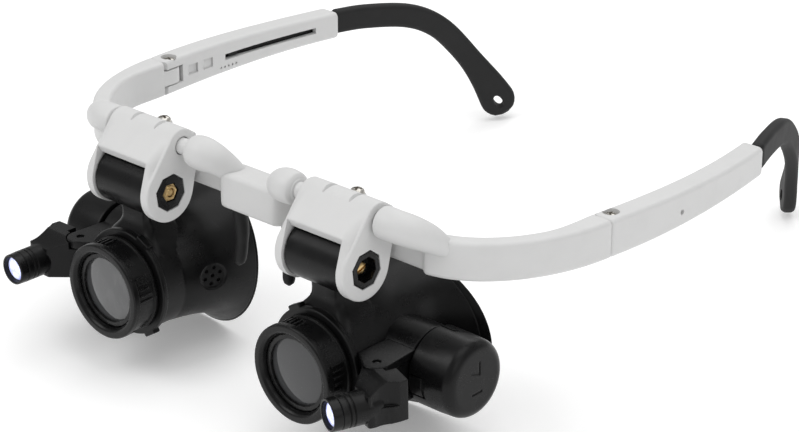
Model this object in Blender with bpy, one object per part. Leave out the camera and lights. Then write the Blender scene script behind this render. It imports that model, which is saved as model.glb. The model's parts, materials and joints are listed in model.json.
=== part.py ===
"""Head visor magnifier: a spectacle frame that carries two flip-up loupes, each with a lamp.

Lengths are in metres. Everything is drawn in a level frame: +X is the wearer's left, the front
faces -Y, +Z is up, and the origin lies midway between the two loupe pivots. The drawing functions
use the wearer's left side, and a holder mirrors them for the right. The last step pitches and
lifts the level frame, so that the object rests on z = 0 on its eyecups and its temple tips.
"""

import math

import bmesh
import bpy
from mathutils import Matrix, Vector

MM = 0.001
GAP = 0.3 * MM  # between neighbours that touch
FIT = 0.2 * MM  # radial play of a turning fit
THROUGH = 2.0 * MM  # how far a cutter runs past the wall that it cuts

# Loupe stations
PUPIL_DISTANCE = 64.0 * MM
OPTICAL_DROP = 24.4 * MM  # optical axis below the pivot axis
LOUPE_TILT = math.radians(1.5)

# Rod that the brackets slide and flip on
ROD_Y = 4.2 * MM
ROD_Z = 10.7 * MM
ROD_RADIUS = 2.0 * MM
ROD_START = PUPIL_DISTANCE / 2 - 14.5 * MM
ROD_END = PUPIL_DISTANCE / 2 + 11.6 * MM
ROD_SOCKET = 2.0 * MM  # how far the rod runs into its bulbs
BULB_RADIUS = 4.1 * MM
COLLAR_RADIUS = 3.8 * MM
BUSH_WALL = 0.7 * MM
BUSH_LENGTH = 12.0 * MM

# Front frame
BRIDGE_FRONT = 4.5 * MM
BRIDGE_HALF = 8.0 * MM
BRIDGE_BOTTOM = -1.5 * MM
BRIDGE_TOP = 7.4 * MM
RAIL_FRONT = 9.6 * MM
RAIL_BACK = 12.6 * MM
RAIL_TOP = 5.2 * MM
RAIL_START = 14.0 * MM
RAIL_END = PUPIL_DISTANCE / 2 + 18.5 * MM
BAND_BOTTOM = -1.0 * MM
BAND_TOP = 8.3 * MM
BAND_WALL = 4.6 * MM
BAND_EDGE = 0.8 * MM
CORNER_CENTRE = (PUPIL_DISTANCE / 2 + 18.0 * MM, 46.0 * MM)
CORNER_SIZE = (27.0 * MM, 38.0 * MM)
CORNER_START = math.radians(6.0)
CORNER_STEPS = 11

# Temple hinge, sleeve and sliding tip
HINGE_Y = 47.3 * MM
HINGE_INSET = 3.6 * MM  # hinge axis inside the outer face
HINGE_RADIUS = 2.6 * MM
HINGE_SCREW_RADIUS = 0.9 * MM
HINGE_LEAF = 4.0 * MM
FRAME_END = 43.3 * MM
SLEEVE_LENGTH = 60.4 * MM
SLEEVE_WALL = 6.2 * MM
SLEEVE_RISE = 1.0 * MM
SLEEVE_DROP = 3.1 * MM
SLEEVE_REAR_BOTTOM = 0.0 * MM
SLEEVE_REAR_TOP = 7.3 * MM
SLEEVE_STEPS = 9
BLADE_LENGTH = 42.0 * MM
BLADE_WIDTH = 2.0 * MM
BLADE_HEIGHT = 4.2 * MM
BLADE_FIT = 0.25 * MM
BLADE_INSET = 2.75 * MM  # blade's middle inside the sleeve's outer face
SLIDE_TRAVEL = 20.0 * MM
SLOT_HEIGHT = 1.6 * MM
TIP_WIDTH = 3.4 * MM
TIP_HEIGHT = 6.6 * MM
PADDLE_HEIGHT = 10.5 * MM
EYELET_RADIUS = 1.3 * MM
EYELET_STRETCH = 1.5
EYELET_STEP = 3  # path steps from the paddle's end
TIP_ROUND_STEPS = 2

# Nose pads
PAD_X = 8.4 * MM
PAD_Y = 9.6 * MM
PAD_LENGTH = 16.0 * MM
PAD_RADIUS = 1.5 * MM
PAD_STUB = 2.6 * MM

# Bracket
BRACKET_HALF = 10.87 * MM
EAR_THICKNESS = 2.4 * MM
EAR_RADIUS = 7.4 * MM
KNUCKLE_RADIUS = 4.2 * MM
LIP_Y = -5.5 * MM
LIP_Z = 8.6 * MM
BRACKET_BACK = ROD_Y + ROD_RADIUS + BUSH_WALL + 1.9 * MM
BRACKET_BACK_LOW = 4.3 * MM
BRACKET_BACK_TOP = 12.9 * MM
CLAMP_SCREW_Y = ROD_Y + ROD_RADIUS + BUSH_WALL + 1.4 * MM
CLAMP_BOSS_RADIUS = 2.1 * MM
CLAMP_BOSS_DEPTH = 2.4 * MM  # below the rod's axis
CLAMP_SCREW_RADIUS = 0.9 * MM
CLAMP_SLIT = 0.6 * MM
PAN_HEAD_RADIUS = 1.8 * MM
PAN_HEAD_HEIGHT = 1.2 * MM

# Loupe pivot
PIVOT_RADIUS = 6.9 * MM
OCTAGON_RADIUS = 4.68 * MM
OCTAGON_TURN = math.radians(30.0)
JOURNAL_RADIUS = 3.0 * MM
JOURNAL_LENGTH = 2.6 * MM
PIVOT_SCREW_RADIUS = 1.0 * MM
PIVOT_HEAD_RADIUS = 1.7 * MM
NUT_RADIUS = 2.3 * MM
NUT_HEIGHT = 1.4 * MM
SOCKET_RADIUS = 3.1 * MM
SOCKET_DEPTH = 2.6 * MM

# Loupe shell
SHELL_WALL = 1.4 * MM
SPIGOT_FRONT = -8.2 * MM
SPIGOT_RADIUS = 10.2 * MM
FLANGE_FRONT = -6.3 * MM
FLANGE_BACK = -4.7 * MM
FLANGE_RADIUS = 13.4 * MM
BARREL_RADIUS = 12.7 * MM
BELL_START = 1.0 * MM
BELL_STEPS = 6
EYECUP_BACK = 22.2 * MM
EYECUP_DROP = 0.6 * MM  # of the rim's centre below the optical axis
EYECUP_NOSE = 18.2 * MM  # half widths of the oval rim
EYECUP_TEMPLE = 26.2 * MM
EYECUP_HEIGHT = 19.0 * MM
EYECUP_YAW = 0.096  # how far the rim runs back per length outward, and per length up
EYECUP_RAKE = 0.09
TEMPLE_FLARE = 5.5  # the temple side stays narrow beside the battery case, then flares
BOTTOM_FLARE = 3.0
SHELL_SIDES = 28
NECK_HALF = 6.6 * MM
NECK_FRONT = -4.6 * MM
NECK_BACK = 5.6 * MM
VENT_Y = 8.2 * MM
VENT_RISE = 1.0 * MM  # above the optical axis
VENT_DISH_RADIUS = 3.6 * MM
VENT_DISH_DEPTH = 0.3 * MM
VENT_SLOPE = 0.31  # of the shell's side where the dish lies
VENT_RADIUS = 0.55 * MM
VENT_PITCH = 2.1 * MM

# Lens holder
HOLDER_FRONT = -14.0 * MM
HOLDER_LIP = 1.7 * MM
HOLDER_RADIUS = 12.0 * MM
HOLDER_BAND_RADIUS = 11.5 * MM
HOLDER_MOUTH = 9.7 * MM
LENS_RADIUS = 9.2 * MM
LENS_EDGE = 1.3 * MM
LENS_CROWN = 0.9 * MM
LENS_FRONT = -11.4 * MM
RETAINER_BORE = 8.2 * MM
RETAINER_HEIGHT = 0.7 * MM

# Battery case
CASE_Y = 11.4 * MM
CASE_RADIUS = 8.9 * MM
CASE_END = 20.9 * MM  # from the optical axis
CELL_RADIUS = 5.8 * MM
CELL_HEIGHT = 3.05 * MM
CELLS = 3
CELL_START = 19.4 * MM
SPRING_HEIGHT = 2.0 * MM
SPRING_WIRE = 0.3 * MM
CASE_SPIGOT = 7.9 * MM
CAP_RADIUS = 9.5 * MM
CAP_WALL = 1.4 * MM
CAP_ROUND = 2.6 * MM

# Lamp
LAMP_PIN_X = 17.9 * MM  # from the optical axis
LAMP_PIN_Y = -4.7 * MM
LAMP_PIN_RADIUS = 0.8 * MM
LAMP_KNUCKLE = 3.3 * MM
LAMP_TOP = 6.0 * MM  # above the optical axis
LAMP_LEAF = 2.0 * MM
LAMP_REACH = 15.7 * MM
LAMP_RADIUS = 3.9 * MM
LAMP_OFFSET = 7.3 * MM  # of the head from the pin, outward
BEZEL_LENGTH = 2.2 * MM
LAMP_WEB_CORNER = (11.8 * MM, 6.0 * MM)  # from the optical axis
LAMP_STOP = 3.9 * MM  # of the case's block behind the pin
LAMP_NECK = 7.5 * MM  # where the arm meets its head
LAMP_HEEL = (3.6 * MM, 2.6 * MM)  # from the head's axis and the pin
LAMP_TONGUE = 4.9 * MM
LED_RADIUS = 3.0 * MM
LAMP_SWING = {1: math.radians(-20.0), -1: math.radians(2.0)}  # at rest, outward

SIDES = {1: "left", -1: "right"}
LOOKS = {  # colour, roughness, metallic
    "white_plastic": ((0.78, 0.78, 0.77), 0.42, 0.0),
    "black_plastic": ((0.018, 0.018, 0.019), 0.38, 0.0),
    "black_rubber": ((0.022, 0.022, 0.023), 0.62, 0.0),
    "steel": ((0.55, 0.54, 0.50), 0.28, 1.0),
    "brass": ((0.62, 0.42, 0.20), 0.32, 1.0),
    "glass": ((0.72, 0.74, 0.74), 0.05, 0.0),
    "led": ((0.72, 0.76, 1.0), 0.12, 0.0),
}


class Holder:
    """An empty on a joint's axis, with the level-frame place that its pieces are drawn around."""

    def __init__(self, name, home, parent=None, sign=1, turn=(0.0, 0.0, 0.0)):
        self.home = Vector(home)
        self.sign = sign
        self.empty = bpy.data.objects.new(name, None)
        bpy.context.scene.collection.objects.link(self.empty)
        if parent:
            offset = self.home - parent.home
            self.empty.parent = parent.empty
            self.empty.location = (sign * offset.x, offset.y, offset.z)
        self.empty.rotation_euler = turn

    def _object(self, name, bm):
        bmesh.ops.translate(bm, verts=bm.verts, vec=-self.home)
        if self.sign < 0:
            bmesh.ops.scale(bm, verts=bm.verts, vec=(-1.0, 1.0, 1.0))
        bmesh.ops.recalc_face_normals(bm, faces=bm.faces)
        mesh = bpy.data.meshes.new(name)
        bm.to_mesh(mesh)
        bm.free()
        made = bpy.data.objects.new(name, mesh)
        bpy.context.scene.collection.objects.link(made)
        made.parent = self.empty
        return made

    def piece(self, name, bm, look):
        """A named solid, with its own material, drawn in the level frame."""
        made = self._object(name, bm)
        made.data.shade_smooth()
        made.data.set_sharp_from_angle(angle=math.radians(35.0))
        colour, roughness, metallic = LOOKS[look]
        material = bpy.data.materials.new(name)
        material.use_nodes = True
        shader = material.node_tree.nodes["Principled BSDF"]
        shader.inputs["Base Color"].default_value = (*colour, 1.0)
        shader.inputs["Roughness"].default_value = roughness
        shader.inputs["Metallic"].default_value = metallic
        made.data.materials.append(material)
        return made

    def _combine(self, target, bm, operation):
        tool = self._object(f"{target.name}_tool_{len(target.modifiers)}", bm)
        tool.hide_render = True
        tool.display_type = "WIRE"
        modifier = target.modifiers.new(tool.name, "BOOLEAN")
        modifier.operation = operation
        modifier.solver = "EXACT"
        modifier.object = tool

    def cut(self, target, bm):
        self._combine(target, bm, "DIFFERENCE")

    def join(self, target, bm):
        self._combine(target, bm, "UNION")


def clear_scene():
    for item in list(bpy.data.objects):
        bpy.data.objects.remove(item, do_unlink=True)


def mix(start, end, share):
    return start + (end - start) * share


def ease(share):
    """0 to 1 with level ends."""
    share = min(max(share, 0.0), 1.0)
    return share * share * (3.0 - 2.0 * share)


def steps(count):
    return [i / count for i in range(count + 1)]


def circle(centre, radius, count, turn=0.0):
    return [
        (centre[0] + radius * math.cos(turn + 2.0 * math.pi * i / count),
         centre[1] + radius * math.sin(turn + 2.0 * math.pi * i / count))
        for i in range(count)
    ]


def arc(centre, radius, start, end, count):
    """Points of an arc between two angles in degrees."""
    angles = [math.radians(mix(start, end, share)) for share in steps(count)]
    return [(centre[0] + radius * math.cos(a), centre[1] + radius * math.sin(a)) for a in angles]


def hull(points):
    """The convex outline round the points, anticlockwise."""
    points = sorted(set(points))

    def chain(ordered):
        kept = []
        for point in ordered:
            while len(kept) > 1:
                (ax, ay), (bx, by) = kept[-2:]
                if (bx - ax) * (point[1] - ay) - (by - ay) * (point[0] - ax) > 0.0:
                    break
                kept.pop()
            kept.append(point)
        return kept[:-1]

    return chain(points) + chain(points[::-1])


def skin(bm, first, second):
    """Faces between two loops. A loop of one vertex closes to a point, and two such need no face."""
    count = max(len(first), len(second))
    if count == 1:
        return
    for i in range(count):
        corners = []
        for loop, index in ((first, i), (first, i + 1), (second, i + 1), (second, i)):
            vertex = loop[index % len(loop)]
            if vertex not in corners:
                corners.append(vertex)
        bm.faces.new(corners)


def loft(rings, closed=False):
    """A solid through rings of points. A closed one joins its last ring to its first."""
    bm = bmesh.new()
    loops = [[bm.verts.new(point) for point in ring] for ring in rings]
    for first, second in zip(loops, loops[1:]):
        skin(bm, first, second)
    if closed:
        skin(bm, loops[-1], loops[0])
    else:
        for loop in (loops[0], loops[-1]):
            if len(loop) > 2:
                bm.faces.new(loop)
    return bm


def prism(outline, low, high, axis):
    """An outline extruded along X, Y or Z. Its points are (y, z), (x, z) or (x, y)."""
    place = {
        "X": lambda u, v, w: (w, u, v),
        "Y": lambda u, v, w: (u, w, v),
        "Z": lambda u, v, w: (u, v, w),
    }[axis]
    return loft([[place(u, v, w) for u, v in outline] for w in (low, high)])


def block(low, high):
    corners = [(low[0], low[1]), (high[0], low[1]), (high[0], high[1]), (low[0], high[1])]
    return prism(corners, low[2], high[2], "Z")


def turned(profile, centre, axis, count=24, closed=False, turn=0.0):
    """(station, radius) points turned round a line along X, Y or Z through the centre."""
    turned_to = {
        "X": lambda s, u, v: Vector((s, u, v)),
        "Y": lambda s, u, v: Vector((u, s, v)),
        "Z": lambda s, u, v: Vector((u, v, s)),
    }[axis]
    rings = []
    for station, radius in profile:
        around = circle((0.0, 0.0), radius, count, turn) if radius else [(0.0, 0.0)]
        rings.append([turned_to(station, u, v) + Vector(centre) for u, v in around])
    return loft(rings, closed)


def smooth_path(points, pieces):
    """Points along a Catmull-Rom curve through the given points."""
    points = [Vector(p) for p in points]
    ends = [2.0 * points[0] - points[1], *points, 2.0 * points[-1] - points[-2]]
    curve = [points[0]]
    for a, b, c, d in zip(ends, ends[1:], ends[2:], ends[3:]):
        for share in steps(pieces)[1:]:
            curve.append(0.5 * (
                2.0 * b + (c - a) * share
                + (2.0 * a - 5.0 * b + 4.0 * c - d) * share ** 2
                + (3.0 * b - a - 3.0 * c + d) * share ** 3
            ))
    return curve


def axes_along(path, up=Vector((0.0, 0.0, 1.0))):
    """For each point: itself, the side and the height direction square to the path."""
    for i, point in enumerate(path):
        tangent = (path[min(i + 1, len(path) - 1)] - path[max(i - 1, 0)]).normalized()
        side = tangent.cross(up).normalized()
        yield point, side, side.cross(tangent)


def tube(points, radii, pieces=2, count=12):
    """A round bar whose radius changes along a smooth path."""
    path = smooth_path(points, pieces)
    sizes = [size.x for size in smooth_path([(r, 0.0, 0.0) for r in radii], pieces)]
    return loft([
        [point + side * u + height * v for u, v in circle((0.0, 0.0), size, count)]
        for (point, side, height), size in zip(axes_along(path), sizes)
    ])


def flat_bar(path, widths, heights, edge):
    """A bar of chamfered rectangular section along a path."""
    rings = []
    for (point, side, height), width, tall in zip(axes_along(path), widths, heights):
        outline = chamfered((-width / 2, -tall / 2), (width / 2, tall / 2), edge)
        rings.append([point + side * u + height * v for u, v in outline])
    return loft(rings)


def chamfered(low, high, edge):
    """A rectangle with cut corners."""
    (x0, y0), (x1, y1) = low, high
    return [(x0 + edge, y0), (x1 - edge, y0), (x1, y0 + edge), (x1, y1 - edge),
            (x1 - edge, y1), (x0 + edge, y1), (x0, y1 - edge), (x0, y0 + edge)]


def band_ring(front, back, low, high):
    """One section of the frame's band, between its front and back points in plan."""
    front, back = Vector((*front, 0.0)), Vector((*back, 0.0))
    wall = (back - front).length
    across = (back - front).normalized()
    up = Vector((0.0, 0.0, 1.0))
    return [front + across * u + up * v for u, v in chamfered((0.0, low), (wall, high), BAND_EDGE)]


def corner_point(angle):
    """A point on the outer face of the frame's corner, and the direction inward from it."""
    (cx, cy), (width, depth) = CORNER_CENTRE, CORNER_SIZE
    point = Vector((cx + width * math.sin(angle), cy - depth * math.cos(angle)))
    inward = Vector((-depth * math.sin(angle), width * math.cos(angle))).normalized()
    return point, inward


def corner_end():
    """The angle at which the corner meets the temple."""
    return math.acos((CORNER_CENTRE[1] - FRAME_END) / CORNER_SIZE[1])


def frame_outer_x():
    return corner_point(corner_end())[0].x


def hinge_x():
    return frame_outer_x() - HINGE_INSET


def leaf_heights():
    middle = (BAND_BOTTOM + BAND_TOP) / 2
    return middle - HINGE_LEAF / 2, middle + HINGE_LEAF / 2


def band_rings():
    """The sections of the band's left half, from the bridge to the temple."""
    rings = []
    for x in (0.0, BRIDGE_HALF):
        rings.append(band_ring((x, BRIDGE_FRONT), (x, RAIL_BACK), BRIDGE_BOTTOM, BRIDGE_TOP))
    middle = mix(BRIDGE_HALF, RAIL_START, 0.6)
    rings.append(band_ring(
        (middle, mix(BRIDGE_FRONT, RAIL_FRONT, 0.5)), (middle, RAIL_BACK),
        mix(BRIDGE_BOTTOM, BAND_BOTTOM, 0.5), mix(BRIDGE_TOP, RAIL_TOP, 0.3)))
    for x in (RAIL_START, RAIL_END):
        rings.append(band_ring((x, RAIL_FRONT), (x, RAIL_BACK), BAND_BOTTOM, RAIL_TOP))
    for share in steps(CORNER_STEPS):
        point, inward = corner_point(mix(CORNER_START, corner_end(), share))
        wall = mix(BAND_WALL, SLEEVE_WALL, ease(3.0 * share - 2.0))
        back = point + inward * wall
        if share == 1.0:
            back.y = point.y
        rings.append(band_ring(point, back, BAND_BOTTOM, BAND_TOP))
    return rings


def mirrored(ring):
    return [Vector((-point.x, point.y, point.z)) for point in ring]


def inner_bulb():
    """The swelling at the rod's inner end. It runs back and down into the rail."""
    y, z = ROD_Y, ROD_Z
    return tube(
        [(ROD_START - back * MM, y + down * MM, z - drop * MM) for back, down, drop in (
            (10.1, 6.2, 6.2), (8.5, 3.8, 3.6), (6.3, 1.2, 1.0), (3.7, 0.0, 0.0), (0.9, 0.0, 0.0),
            (0.0, 0.0, 0.0))],
        [BULB_RADIUS - 1.9 * MM, BULB_RADIUS - 1.1 * MM, BULB_RADIUS - 0.4 * MM, BULB_RADIUS,
         BULB_RADIUS - 0.3 * MM, BULB_RADIUS - 1.0 * MM])


def outer_bulb():
    """The collar at the rod's outer end. Its tail sinks into the end piece."""
    y, z = ROD_Y, ROD_Z
    return tube(
        [(ROD_END, y, z), (ROD_END + 0.9 * MM, y, z), (ROD_END + 4.2 * MM, y, z),
         (ROD_END + 7.8 * MM, y + 1.4 * MM, z - 0.7 * MM),
         (ROD_END + 10.8 * MM, y + 4.2 * MM, z - 2.5 * MM),
         (ROD_END + 13.4 * MM, y + 7.4 * MM, z - 5.3 * MM)],
        [COLLAR_RADIUS - 0.7 * MM, COLLAR_RADIUS, COLLAR_RADIUS, COLLAR_RADIUS - 0.1 * MM,
         COLLAR_RADIUS - 0.6 * MM, COLLAR_RADIUS - 1.8 * MM])


def build_front_frame(level):
    half = band_rings()
    frame = level.piece(
        "front_frame", loft([mirrored(r) for r in half[:0:-1]] + half), "white_plastic")
    x = hinge_x()
    low, high = leaf_heights()
    leaf = hull(circle((x, HINGE_Y), HINGE_RADIUS, 20)
                + [(x - HINGE_RADIUS, FRAME_END - 4.0 * MM), (x + HINGE_RADIUS, FRAME_END - 4.0 * MM)])
    for sign in SIDES:
        side = Holder(f"frame_{SIDES[sign]}_half", (0.0, 0.0, 0.0), level, sign)
        side.join(frame, inner_bulb())
        side.join(frame, turned(
            [(ROD_START - ROD_SOCKET, ROD_RADIUS), (ROD_END + ROD_SOCKET, ROD_RADIUS)],
            (0.0, ROD_Y, ROD_Z), "X", 16))
        side.join(frame, outer_bulb())
        side.join(frame, prism(leaf, low, high, "Z"))
        side.cut(frame, turned(
            [(low - THROUGH, HINGE_SCREW_RADIUS + FIT), (high + THROUGH, HINGE_SCREW_RADIUS + FIT)],
            (x, HINGE_Y, 0.0), "Z", 16))
        side.cut(frame, block(
            (PAD_X - PAD_RADIUS - FIT, PAD_Y - PAD_RADIUS - FIT, BRIDGE_BOTTOM - THROUGH),
            (PAD_X + PAD_RADIUS + FIT, PAD_Y + PAD_RADIUS + FIT, BRIDGE_BOTTOM + PAD_STUB + GAP)))


def build_nose_pad(side, name):
    """A rubber finger with a square stub in the underside of the bridge."""
    bottom = BRIDGE_BOTTOM - GAP
    tip = bottom - PAD_LENGTH
    stub = PAD_RADIUS * math.sqrt(2.0)
    rings = []
    for height, radius, bow in (
        (bottom + PAD_STUB, stub, 0.0), (bottom, stub, 0.0), (mix(bottom, tip, 0.12), 1.2 * stub, 0.0),
        (mix(bottom, tip, 0.4), stub, 0.5 * MM), (mix(bottom, tip, 0.7), stub, 0.6 * MM),
        (mix(bottom, tip, 0.93), stub * 0.92, 0.3 * MM), (tip, stub * 0.55, 0.2 * MM),
    ):
        outline = circle((PAD_X - bow, PAD_Y + bow), radius, 4, math.pi / 4)
        rings.append([(x, y, height) for x, y in outline])
    side.piece(name, loft(rings), "black_rubber")


def sleeve_outer_x(share):
    bend = 2.0 * (SLEEVE_RISE + math.sqrt(SLEEVE_RISE ** 2 + SLEEVE_RISE * SLEEVE_DROP))
    return frame_outer_x() + bend * share - (SLEEVE_DROP + bend) * share ** 2


def sleeve_front():
    return FRAME_END + GAP


def sleeve_back():
    return sleeve_front() + SLEEVE_LENGTH


def blade_line():
    """The start of the blade and the direction that it slides in, through both ends' walls."""
    front_share = 1.0 - (BLADE_LENGTH + GAP) / SLEEVE_LENGTH
    points = []
    for share in (front_share, 1.0):
        y = mix(sleeve_front(), sleeve_back(), share)
        points.append(Vector((sleeve_outer_x(share) - BLADE_INSET, y, blade_z())))
    return points[0], (points[1] - points[0]).normalized()


def blade_z():
    return (SLEEVE_REAR_BOTTOM + SLEEVE_REAR_TOP) / 2


def build_sleeve(temple, name):
    rings = []
    for share in steps(SLEEVE_STEPS):
        outer = sleeve_outer_x(share)
        y = mix(sleeve_front(), sleeve_back(), share)
        rings.append(band_ring(
            (outer, y), (outer - SLEEVE_WALL, y),
            mix(BAND_BOTTOM, SLEEVE_REAR_BOTTOM, ease(share)),
            mix(BAND_TOP, SLEEVE_REAR_TOP, ease(share))))
    sleeve = temple.piece(name, loft(rings), "white_plastic")
    x = hinge_x()
    low, high = leaf_heights()
    inner = x - 3.0 * SLEEVE_WALL
    fork = HINGE_RADIUS + GAP
    outline = hull(circle((x, HINGE_Y), fork, 20)
                   + [(inner, sleeve_front() - THROUGH), (x + fork, sleeve_front() - THROUGH),
                      (inner, HINGE_Y + fork)])
    temple.cut(sleeve, prism(outline, low - GAP, high + GAP, "Z"))
    swing = HINGE_Y - sleeve_front()
    corner = [(inner, sleeve_front() - THROUGH), (x, sleeve_front() - THROUGH),
              *arc((x, HINGE_Y), swing, -90.0, -180.0, 8), (inner, HINGE_Y)]
    temple.cut(sleeve, prism(corner, BAND_BOTTOM - THROUGH, BAND_TOP + THROUGH, "Z"))
    temple.cut(sleeve, turned(
        [(high + 0.8 * MM, HINGE_SCREW_RADIUS + FIT), (high + 0.9 * MM, PAN_HEAD_RADIUS + FIT),
         (BAND_TOP + THROUGH, PAN_HEAD_RADIUS + FIT)],
        (x, HINGE_Y, 0.0), "Z", 16))
    temple.cut(sleeve, turned(
        [(low - 1.5 * MM, HINGE_SCREW_RADIUS + FIT), (BAND_TOP + THROUGH, HINGE_SCREW_RADIUS + FIT)],
        (x, HINGE_Y, 0.0), "Z", 16))
    start, along = blade_line()
    end = start + along * (BLADE_LENGTH + THROUGH)
    temple.cut(sleeve, flat_bar(
        [start - along * GAP, end], 2 * [BLADE_WIDTH + 2 * BLADE_FIT],
        2 * [BLADE_HEIGHT + 2 * BLADE_FIT], 0.2 * MM))
    first = start + along * 4.0 * MM
    last = first + along * (SLIDE_TRAVEL + 11.0 * MM)
    inward = Vector((-SLEEVE_WALL, 0.0, 0.0))
    temple.cut(sleeve, flat_bar(
        [first + inward / 2, last + inward / 2], 2 * [SLEEVE_WALL], 2 * [SLOT_HEIGHT], 0.1 * MM))


def build_hinge_screw(temple, name):
    low, high = leaf_heights()
    head = high + 0.9 * MM + GAP
    temple.piece(name, turned(
        [(low - 1.5 * MM + GAP, HINGE_SCREW_RADIUS), (head, HINGE_SCREW_RADIUS), (head, PAN_HEAD_RADIUS),
         (head + 0.8 * MM, PAN_HEAD_RADIUS), (head + PAN_HEAD_HEIGHT, PAN_HEAD_RADIUS * 0.6)],
        (hinge_x(), HINGE_Y, 0.0), "Z", 14), "steel")


def tip_path():
    """The centre line of the temple tip behind the sleeve: back, inward, then down behind the ear."""
    start, along = blade_line()
    shoulder = start + along * ((sleeve_back() + 4 * GAP - start.y) / along.y)
    offsets = (
        (0.0, 0.0, 0.0), (-3.4, 9.0, 0.0), (-8.0, 20.5, -1.6), (-11.4, 28.5, -5.6),
        (-14.2, 35.2, -12.8), (-18.4, 41.4, -23.0), (-22.6, 46.0, -33.6),
    )
    return smooth_path([shoulder + Vector(offset) * MM for offset in offsets], 3)


def build_temple_tip(slide, name):
    start, along = blade_line()
    path = tip_path()
    last = len(path) - 1
    heights = []
    for i in range(last + 1):
        rounding = max(0.0, i - last + TIP_ROUND_STEPS) / TIP_ROUND_STEPS
        tall = mix(TIP_HEIGHT, PADDLE_HEIGHT, ease(3.4 * i / last - 2.4))
        heights.append(tall * math.sqrt(1.0 - 0.7 * rounding ** 2))
    tip = slide.piece(name, flat_bar(
        path, [TIP_WIDTH] * (last + 1), heights, 0.9 * MM), "black_rubber")
    slide.join(tip, flat_bar(
        [start, path[0] + along * 1.5 * MM], 2 * [BLADE_WIDTH], 2 * [BLADE_HEIGHT], 0.2 * MM))
    peg = start + along * 6.0 * MM
    inward = Vector((-2.0 * MM, 0.0, 0.0))
    slide.join(tip, flat_bar(
        [peg + inward / 2, peg + inward / 2 + along * 3.0 * MM],
        2 * [2.0 * MM], 2 * [SLOT_HEIGHT - 2 * BLADE_FIT], 0.1 * MM))
    point, side, height = list(axes_along(path))[-EYELET_STEP]
    along = height.cross(side)
    slide.cut(tip, loft([
        [point + side * way * (TIP_WIDTH / 2 + THROUGH) + height * u + along * EYELET_STRETCH * v
         for u, v in circle((0.0, 0.0), EYELET_RADIUS, 12)]
        for way in (-1, 1)
    ]))


def bracket_outline():
    return hull(
        circle((0.0, 0.0), EAR_RADIUS, 32) + circle((ROD_Y, ROD_Z), KNUCKLE_RADIUS, 24)
        + [(LIP_Y, LIP_Z), (BRACKET_BACK, BRACKET_BACK_LOW), (BRACKET_BACK, BRACKET_BACK_TOP)])


def bore_radius():
    return ROD_RADIUS + FIT + BUSH_WALL + FIT


def clamp_top():
    """The height of the face that the clamp screw's head presses on."""
    return BRACKET_BACK_TOP - GAP


def build_bracket(flip, centre, name):
    """Two ears and a front plate, clamped round the rod by a slit boss and a screw."""
    bracket = flip.piece(name, prism(
        bracket_outline(), centre - BRACKET_HALF, centre + BRACKET_HALF, "X"), "white_plastic")
    inside = BRACKET_HALF - EAR_THICKNESS
    clear = PIVOT_RADIUS + 2 * GAP
    far = 2.0 * EAR_RADIUS
    face = math.degrees(math.atan2(LIP_Z, LIP_Y))
    between = [
        *arc((0.0, 0.0), clear, face, math.degrees(math.asin(BRACKET_BACK_LOW / clear)), 10),
        (far, BRACKET_BACK_LOW), (far, -far), (-far, -far), (far * LIP_Y / LIP_Z, far)]
    flip.cut(bracket, prism(between, centre - inside, centre + inside, "X"))
    boss_top = clamp_top()
    flip.join(bracket, prism(
        hull(circle((centre, CLAMP_SCREW_Y), CLAMP_BOSS_RADIUS, 16)
             + [(centre + way * CLAMP_BOSS_RADIUS, ROD_Y) for way in (-1, 1)]),
        ROD_Z - CLAMP_BOSS_DEPTH, boss_top, "Z"))
    flip.cut(bracket, turned(
        [(boss_top, PAN_HEAD_RADIUS + GAP), (boss_top + 2 * THROUGH, PAN_HEAD_RADIUS + GAP)],
        (centre, CLAMP_SCREW_Y, 0.0), "Z", 16))
    flip.cut(bracket, turned(
        [(centre - BRACKET_HALF - THROUGH, bore_radius()), (centre + BRACKET_HALF + THROUGH, bore_radius())],
        (0.0, ROD_Y, ROD_Z), "X", 20))
    flip.cut(bracket, block(
        (centre - BRACKET_HALF - THROUGH, ROD_Y, ROD_Z - CLAMP_SLIT / 2),
        (centre + BRACKET_HALF + THROUGH, BRACKET_BACK + 3 * THROUGH, ROD_Z + CLAMP_SLIT / 2)))
    flip.cut(bracket, turned(
        [(ROD_Z - 3 * THROUGH, CLAMP_SCREW_RADIUS + FIT), (ROD_Z + 3 * THROUGH, CLAMP_SCREW_RADIUS + FIT)],
        (centre, CLAMP_SCREW_Y, 0.0), "Z", 12))
    flip.cut(bracket, prism(
        circle((0.0, 0.0), OCTAGON_RADIUS, 8, OCTAGON_TURN),
        centre - BRACKET_HALF - THROUGH, centre + BRACKET_HALF + THROUGH, "X"))


def build_clamp_screw(flip, centre, name):
    head = clamp_top() + GAP
    flip.piece(name, turned(
        [(ROD_Z - CLAMP_BOSS_DEPTH, CLAMP_SCREW_RADIUS), (head, CLAMP_SCREW_RADIUS), (head, PAN_HEAD_RADIUS),
         (head + PAN_HEAD_HEIGHT * 0.6, PAN_HEAD_RADIUS), (head + PAN_HEAD_HEIGHT, PAN_HEAD_RADIUS * 0.5)],
        (centre, CLAMP_SCREW_Y, 0.0), "Z", 14), "steel")


def build_rod_bush(slide, centre, name):
    inner = ROD_RADIUS + FIT
    outer = inner + BUSH_WALL
    half = BUSH_LENGTH / 2
    slide.piece(name, turned(
        [(centre - half, inner), (centre - half, outer), (centre + half, outer), (centre + half, inner)],
        (0.0, ROD_Y, ROD_Z), "X", 20, closed=True), "black_plastic")


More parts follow.
